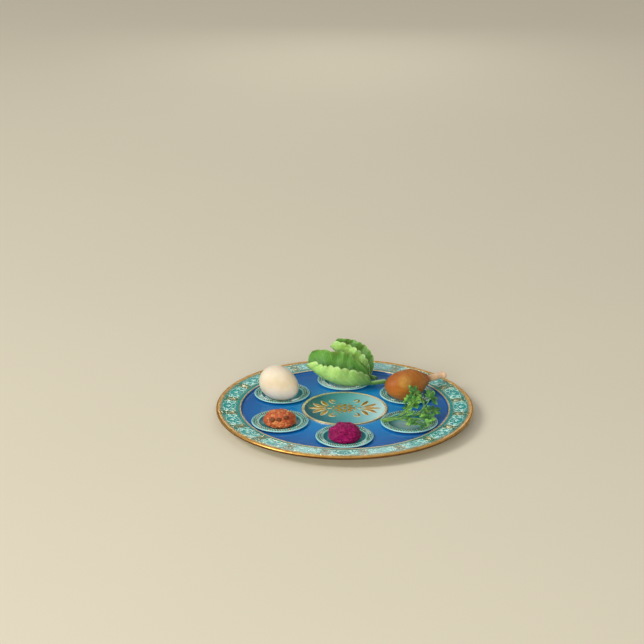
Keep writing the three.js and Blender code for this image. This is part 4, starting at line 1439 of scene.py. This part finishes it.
def mound_point(mound, turn, level):
    """A point on a spooned heap that stands on z = 0, with the direction that it faces."""
    low = MOUND_FOOT_SHARE + (1 - MOUND_FOOT_SHARE) * sqrt(min(1, level / MOUND_WAIST))
    dome = sqrt(1 - (max(0, level - MOUND_WAIST) / (1.04 - MOUND_WAIST)) ** 2)
    lump = 1 - mound["lumps"] * level * (0.5 + 0.5 * sin(5 * turn + mound["twist"] * level))
    over = max(0, (level - MOUND_SHOULDER) / (1 - MOUND_SHOULDER))
    reach = mound["radius"] * low * dome * lump * sqrt(max(0, 1 - over**2))
    lean = mound["lean"] * over
    point = Vector((reach * cos(turn) + lean, reach * sin(turn), mound["height"] * level))
    facing = (point - Vector((0, 0, 0.35 * mound["height"]))).normalized()
    return point, facing


# Fruit paste: moist chopped apple and nuts bound with wine, each bit with its own tone, with painted shade
# darkening the creases between the bits and the dips of its fine grain
@surface(IOR=1.45, Subsurface_Weight=0.12, Subsurface_Scale=0.003)
def fruit_paste(add, where, colours):
    tone = add("Attribute", attribute_name="tone").outputs["Fac"]
    crease = add("Attribute", attribute_name="crease").outputs["Fac"]
    chips = [(0.0, "#ab4a26"), (0.35, colours.charoset), (0.7, "#cf7140"), (0.92, "#d4904f")]
    bits = add("ValToRGB", [tone], chips)
    # Painted shade in the creases between the bits
    creased = add("Mix", {"Factor": crease, "A": bits, "B": "#93401f"}, **COLOURS)
    fine = add("TexNoise", {"Vector": where, "Scale": per(0.9), "Detail": 4.0, "Roughness": 0.6})
    shade = add("ValToRGB", [fine], [(0.3, 0.84), (0.55, 1.0)])
    return {
        "Base_Color": add("Mix", {"Factor": 1.0, "A": creased, "B": shade}, **SHADES),
        "Roughness": add("ValToRGB", [fine], [(0.3, 0.62), (0.7, 0.42)]),
        "Normal": add("Bump", {"Height": fine, "Distance": 0.15 * MM}),
    }


# Walnut: matt dark skin, paler where it was chopped
@surface(Roughness=0.55, IOR=1.47)
def walnut(add, where):
    grain = add("TexNoise", {"Vector": where, "Scale": per(1.6), "Detail": 4.0})
    skin_tones = [(0.3, "#55290c"), (0.55, "#7a3d12"), (0.7, "#a66f38")]
    return {
        "Base_Color": add("ValToRGB", [grain], skin_tones),
        "Normal": add("Bump", {"Height": grain, "Distance": 0.25 * MM}),
    }


# Horseradish dyed with beet: wet shreds that glisten, darker between them
@surface(IOR=1.42, Subsurface_Weight=0.12, Subsurface_Scale=0.002)
def beet_shreds(add, where, colours):
    patch = add("TexNoise", {"Vector": where, "Scale": per(3.2), "Detail": 3.0})
    grain = add("TexNoise", {"Vector": where, "Scale": per(0.7)})
    reds = [(0.3, "#66002f"), (0.52, colours.beet), (0.7, "#b40d66")]
    return {
        "Base_Color": add("ValToRGB", [patch], reds),
        "Roughness": add("ValToRGB", [patch], [(0.3, 0.6), (0.7, 0.46)]),
        "Normal": add("Bump", {"Height": grain, "Distance": 0.1 * MM}),
    }


def mound_body(mound, levels, detail):
    """The heap as a closed body. detail(point) says how far a point is pushed out, and gives its values."""
    rings = []
    values = {}
    flank = round(0.55 * levels)  # rings up to where the top closes
    for step in range(levels):
        level = MOUND_SHOULDER * step / flank
        if step >= flank:
            turn = pi / 2 * (step - flank) / (levels - flank)
            level = MOUND_SHOULDER + (1 - MOUND_SHOULDER) * sin(turn)
        ring = []
        for side in range(2 * FOOD_SIDES):
            point, facing = mound_point(mound, pi * side / FOOD_SIDES, level)
            push, found = detail(point)
            ring.append(point + facing * (push * min(1, 5 * level)))
            for name, value in found.items():
                values.setdefault(name, []).append(value)
        rings.append(ring)
    for known in values.values():
        known += [known[0], known[-1]]
    return *skin(rings, Vector((0, 0, 0)), mound_point(mound, 0, 1)[0]), values


def chopped(point):
    """How chopped bits about 4 mm across push out of the paste, with their tone and the creases between."""
    far, near_points = noise.voronoi(point / 3.8)
    between = far[1] - far[0]
    tone = 0.5 + 0.5 * noise.cell(near_points[0] * 7.3)
    push = 1.1 * min(1, 2.6 * between) + 0.8 * (tone - 0.6) + 0.5 * noise.noise(point / 7)
    # crease is used for painted shade in the gaps between the bits
    return push, {"tone": tone, "crease": max(0.0, 1 - between / 0.16) * 0.6}


def shredded(point):
    """The loose surface under the shreds."""
    return 0.7 * noise.noise(point / 2.4) + 0.5 * noise.noise(point / 1.2), {}


def nut_body(seed):
    """A wrinkled piece of nut, as long as 1 in each direction."""
    rings = []
    for step in range(1, 18):
        turn = pi * step / 18
        ring = []
        for x, y in circle(28):
            out = Vector((sin(turn) * x, -sin(turn) * y, -cos(turn)))
            wrinkle = abs(noise.noise(out * 2.2 + Vector((seed, 0, 0))))
            ring.append(out * (0.44 + 0.16 * min(1, wrinkle / 0.3)))
        rings.append(ring)
    return skin(rings, Vector((0, 0, -0.46)), Vector((0, 0, 0.46)))


class SEDER_OT_charoset(Step, bpy.types.Operator):
    """Make the mound of fruit paste and its nut pieces"""

    bl_idname = "seder.charoset"
    bl_label = "Charoset"

    def build(self, scene, sizes, colours):
        stand = saucer_middle("charoset")
        stand.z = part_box("charoset_mound")[0].z / MM
        points, faces, values = mound_body(CHAROSET, 80, chopped)
        shape = Shape(points, faces, **values).moved(Matrix.Translation(stand))
        paste = fruit_paste("spiced_fruit_paste", colours)
        piece("charoset_heap", shape, [paste], "charoset", ["charoset_mound"], crease=75)
        shell = walnut("chopped_walnut")
        for seed, (node, (turn, level)) in enumerate(NUTS.items()):
            nut = Shape(*nut_body(3.7 * seed))
            middle, _ = mound_point(CHAROSET, radians(turn), level)
            lean = tilt(turn, -90 * level)
            nut.moved(Matrix.Translation(stand + middle) @ lean @ Matrix.Diagonal((*NUT, 1)))
            piece(node.replace("charoset", "walnut"), nut, [shell], "charoset", [node], crease=75)


class SEDER_OT_horseradish(Step, bpy.types.Operator):
    """Make the mound of beet-dyed horseradish and lay its shreds in a swirl"""

    bl_idname = "seder.horseradish"
    bl_label = "Horseradish"

    def build(self, scene, sizes, colours):
        radius = sizes.shred_radius / MM
        stand = saucer_middle("horseradish")
        stand.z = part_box("horseradish_mound")[0].z / MM
        points, faces, _ = mound_body(HORSERADISH, 70, shredded)
        shape = Shape(points, faces)
        draws = random.Random(SHRED_SEED)
        for _ in range(SHREDS):
            turn = draws.uniform(0, tau)
            level = 0.06 + 0.86 * draws.random() ** 0.8
            swing = draws.uniform(0.35, 0.75) * draws.choice((1, 1, -1)) / max(0.35, 1 - 0.6 * level)
            climb = draws.uniform(-0.16, 0.2)
            lift = draws.uniform(-0.1, 0.7)
            path = []
            for i in range(9):
                share = i / 8
                at = min(max(level + climb * share, 0.04), 0.97)
                point, facing = mound_point(HORSERADISH, turn + swing * share, at)
                path.append(point + facing * (lift - 1.1 * (2 * share - 1) ** 2))
            widths = [(radius * (1.15 - 0.6 * abs(2 * i / 8 - 1)),) * 2 for i in range(9)]
            shape.add(*swept(path, circle(6), widths))
        shape.moved(Matrix.Translation(stand))
        finish = beet_shreds("beet_horseradish", colours)
        piece(
            "horseradish_heap", shape, [finish], "horseradish", ["horseradish_mound"], crease=75
        )


# Stage


# Name, place, width and depth in metres, power in watts, and whether the glazes mirror it
LAMPS = [
    ("key_softbox", (-3.1, -1.0, 3.0), 1.8, 1.8, 90, True),
    ("front_softbox", (-0.8, -4.6, 1.2), 3.6, 1.4, 160, False),
    ("low_strip", (0.0, 2.4, 0.5), 0.5, 0.12, 0.8, True),
    ("middle_strip", (0.0, 2.3, 0.69), 0.36, 0.12, 0.35, True),
    ("high_strip", (0.0, 2.2, 1.2), 0.5, 0.16, 0.5, True),
]
FLOOR_HALF = 12  # metres from the middle of the floor to its sides
CAMERA_PLACE = Vector((0, -2.6536, 1.1119))
CAMERA_AIM = Vector((-0.0314, 0.0495, 0.1183))
CAMERA_LENS = 117.83


# Painted table top: even and matt, with the slight mottling of a roller
@surface(Roughness=0.9)
def painted_top(add, where, floor_colour):
    roller = add("TexNoise", {"Vector": where, "Scale": per(400)})
    tint = add("ValToRGB", [roller], [(0.3, 0.985), (0.7, 1.0)])
    return {"Base_Color": add("Mix", {"Factor": 1.0, "A": floor_colour, "B": tint}, **SHADES)}


def placed(scene, thing, place, aim=Vector()):
    """Sets a lamp or a camera in the scene, aimed at a point."""
    made = bpy.data.objects.new(thing.name, thing)
    made.location = place
    made.rotation_mode = "QUATERNION"
    made.rotation_quaternion = (aim - Vector(place)).to_track_quat("-Z", "Y")
    scene.collection.objects.link(made)
    return made


class SEDER_OT_stage(Step, bpy.types.Operator):
    """Set the floor, the lamps and the camera"""

    bl_idname = "seder.stage"
    bl_label = "Stage"

    def build(self, scene, sizes, colours):
        scene.view_settings.view_transform = "Standard"
        mesh = bpy.data.meshes.new("floor")
        signs = ((-1, -1), (1, -1), (1, 1), (-1, 1))
        mesh.from_pydata([(x * FLOOR_HALF, y * FLOOR_HALF, 0) for x, y in signs], [], [(0, 1, 2, 3)])
        mesh.materials.append(painted_top("painted_table_top", colours.floor))
        floor = bpy.data.objects.new("floor", mesh)
        scene.collection.objects.link(floor)

        # A pale horizon, darker above it, and pale again overhead
        world = bpy.data.worlds.new("studio")
        scene.world = world
        world.use_nodes = True
        add = partial(add_node, world.node_tree)
        height = add("SeparateXYZ", [add("TexCoord").outputs["Generated"]]).outputs["Z"]
        steps = [(0.0, colours.floor), (0.06, colours.floor), (0.13, 0.08), (0.45, 0.16), (0.78, 0.62)]
        sky = add("ValToRGB", [height], steps)
        join(world.node_tree, sky, world.node_tree.nodes["Background"].inputs["Color"])

        for name, place, width, depth, watts, mirrors in LAMPS:
            lamp = bpy.data.lights.new(name, "AREA")
            lamp.shape = "RECTANGLE"
            lamp.size = width
            lamp.size_y = depth
            lamp.energy = watts
            holder = placed(scene, lamp, place)
            holder.visible_camera = False
            holder.visible_glossy = mirrors
        camera = bpy.data.cameras.new("camera")
        camera.lens = CAMERA_LENS
        camera.sensor_width = 36
        scene.camera = placed(scene, camera, CAMERA_PLACE, CAMERA_AIM)


OPERATORS = [
    SEDER_OT_plate,
    SEDER_OT_filigree,
    SEDER_OT_rosette,
    SEDER_OT_saucers,
    SEDER_OT_egg,
    SEDER_OT_shank,
    SEDER_OT_lettuce,
    SEDER_OT_parsley,
    SEDER_OT_charoset,
    SEDER_OT_horseradish,
    SEDER_OT_stage,
]


class SEDER_PT_panel(bpy.types.Panel):
    """Sizes, colours and one button for each part of the plate"""

    bl_label = "Seder Plate"
    bl_space_type = "VIEW_3D"
    bl_region_type = "UI"
    bl_category = "Seder Plate"

    def draw(self, context):
        for group in (context.scene.seder_sizes, context.scene.seder_colours):
            box = self.layout.box()
            for name in group.__annotations__:
                box.prop(group, name)
        for operator in OPERATORS:
            self.layout.operator(operator.bl_idname)


CLASSES = [SederPlateSizes, SederPlateColours, *OPERATORS, SEDER_PT_panel]


def register():
    for one in CLASSES:
        bpy.utils.register_class(one)
    bpy.types.Scene.seder_sizes = bpy.props.PointerProperty(type=SederPlateSizes)
    bpy.types.Scene.seder_colours = bpy.props.PointerProperty(type=SederPlateColours)


def unregister():
    del bpy.types.Scene.seder_sizes
    del bpy.types.Scene.seder_colours
    for one in reversed(CLASSES):
        bpy.utils.unregister_class(one)


def main():
    register()
    for operator in OPERATORS:
        group, name = operator.bl_idname.split(".")
        getattr(getattr(bpy.ops, group), name)()


if __name__ == "__main__":
    main()
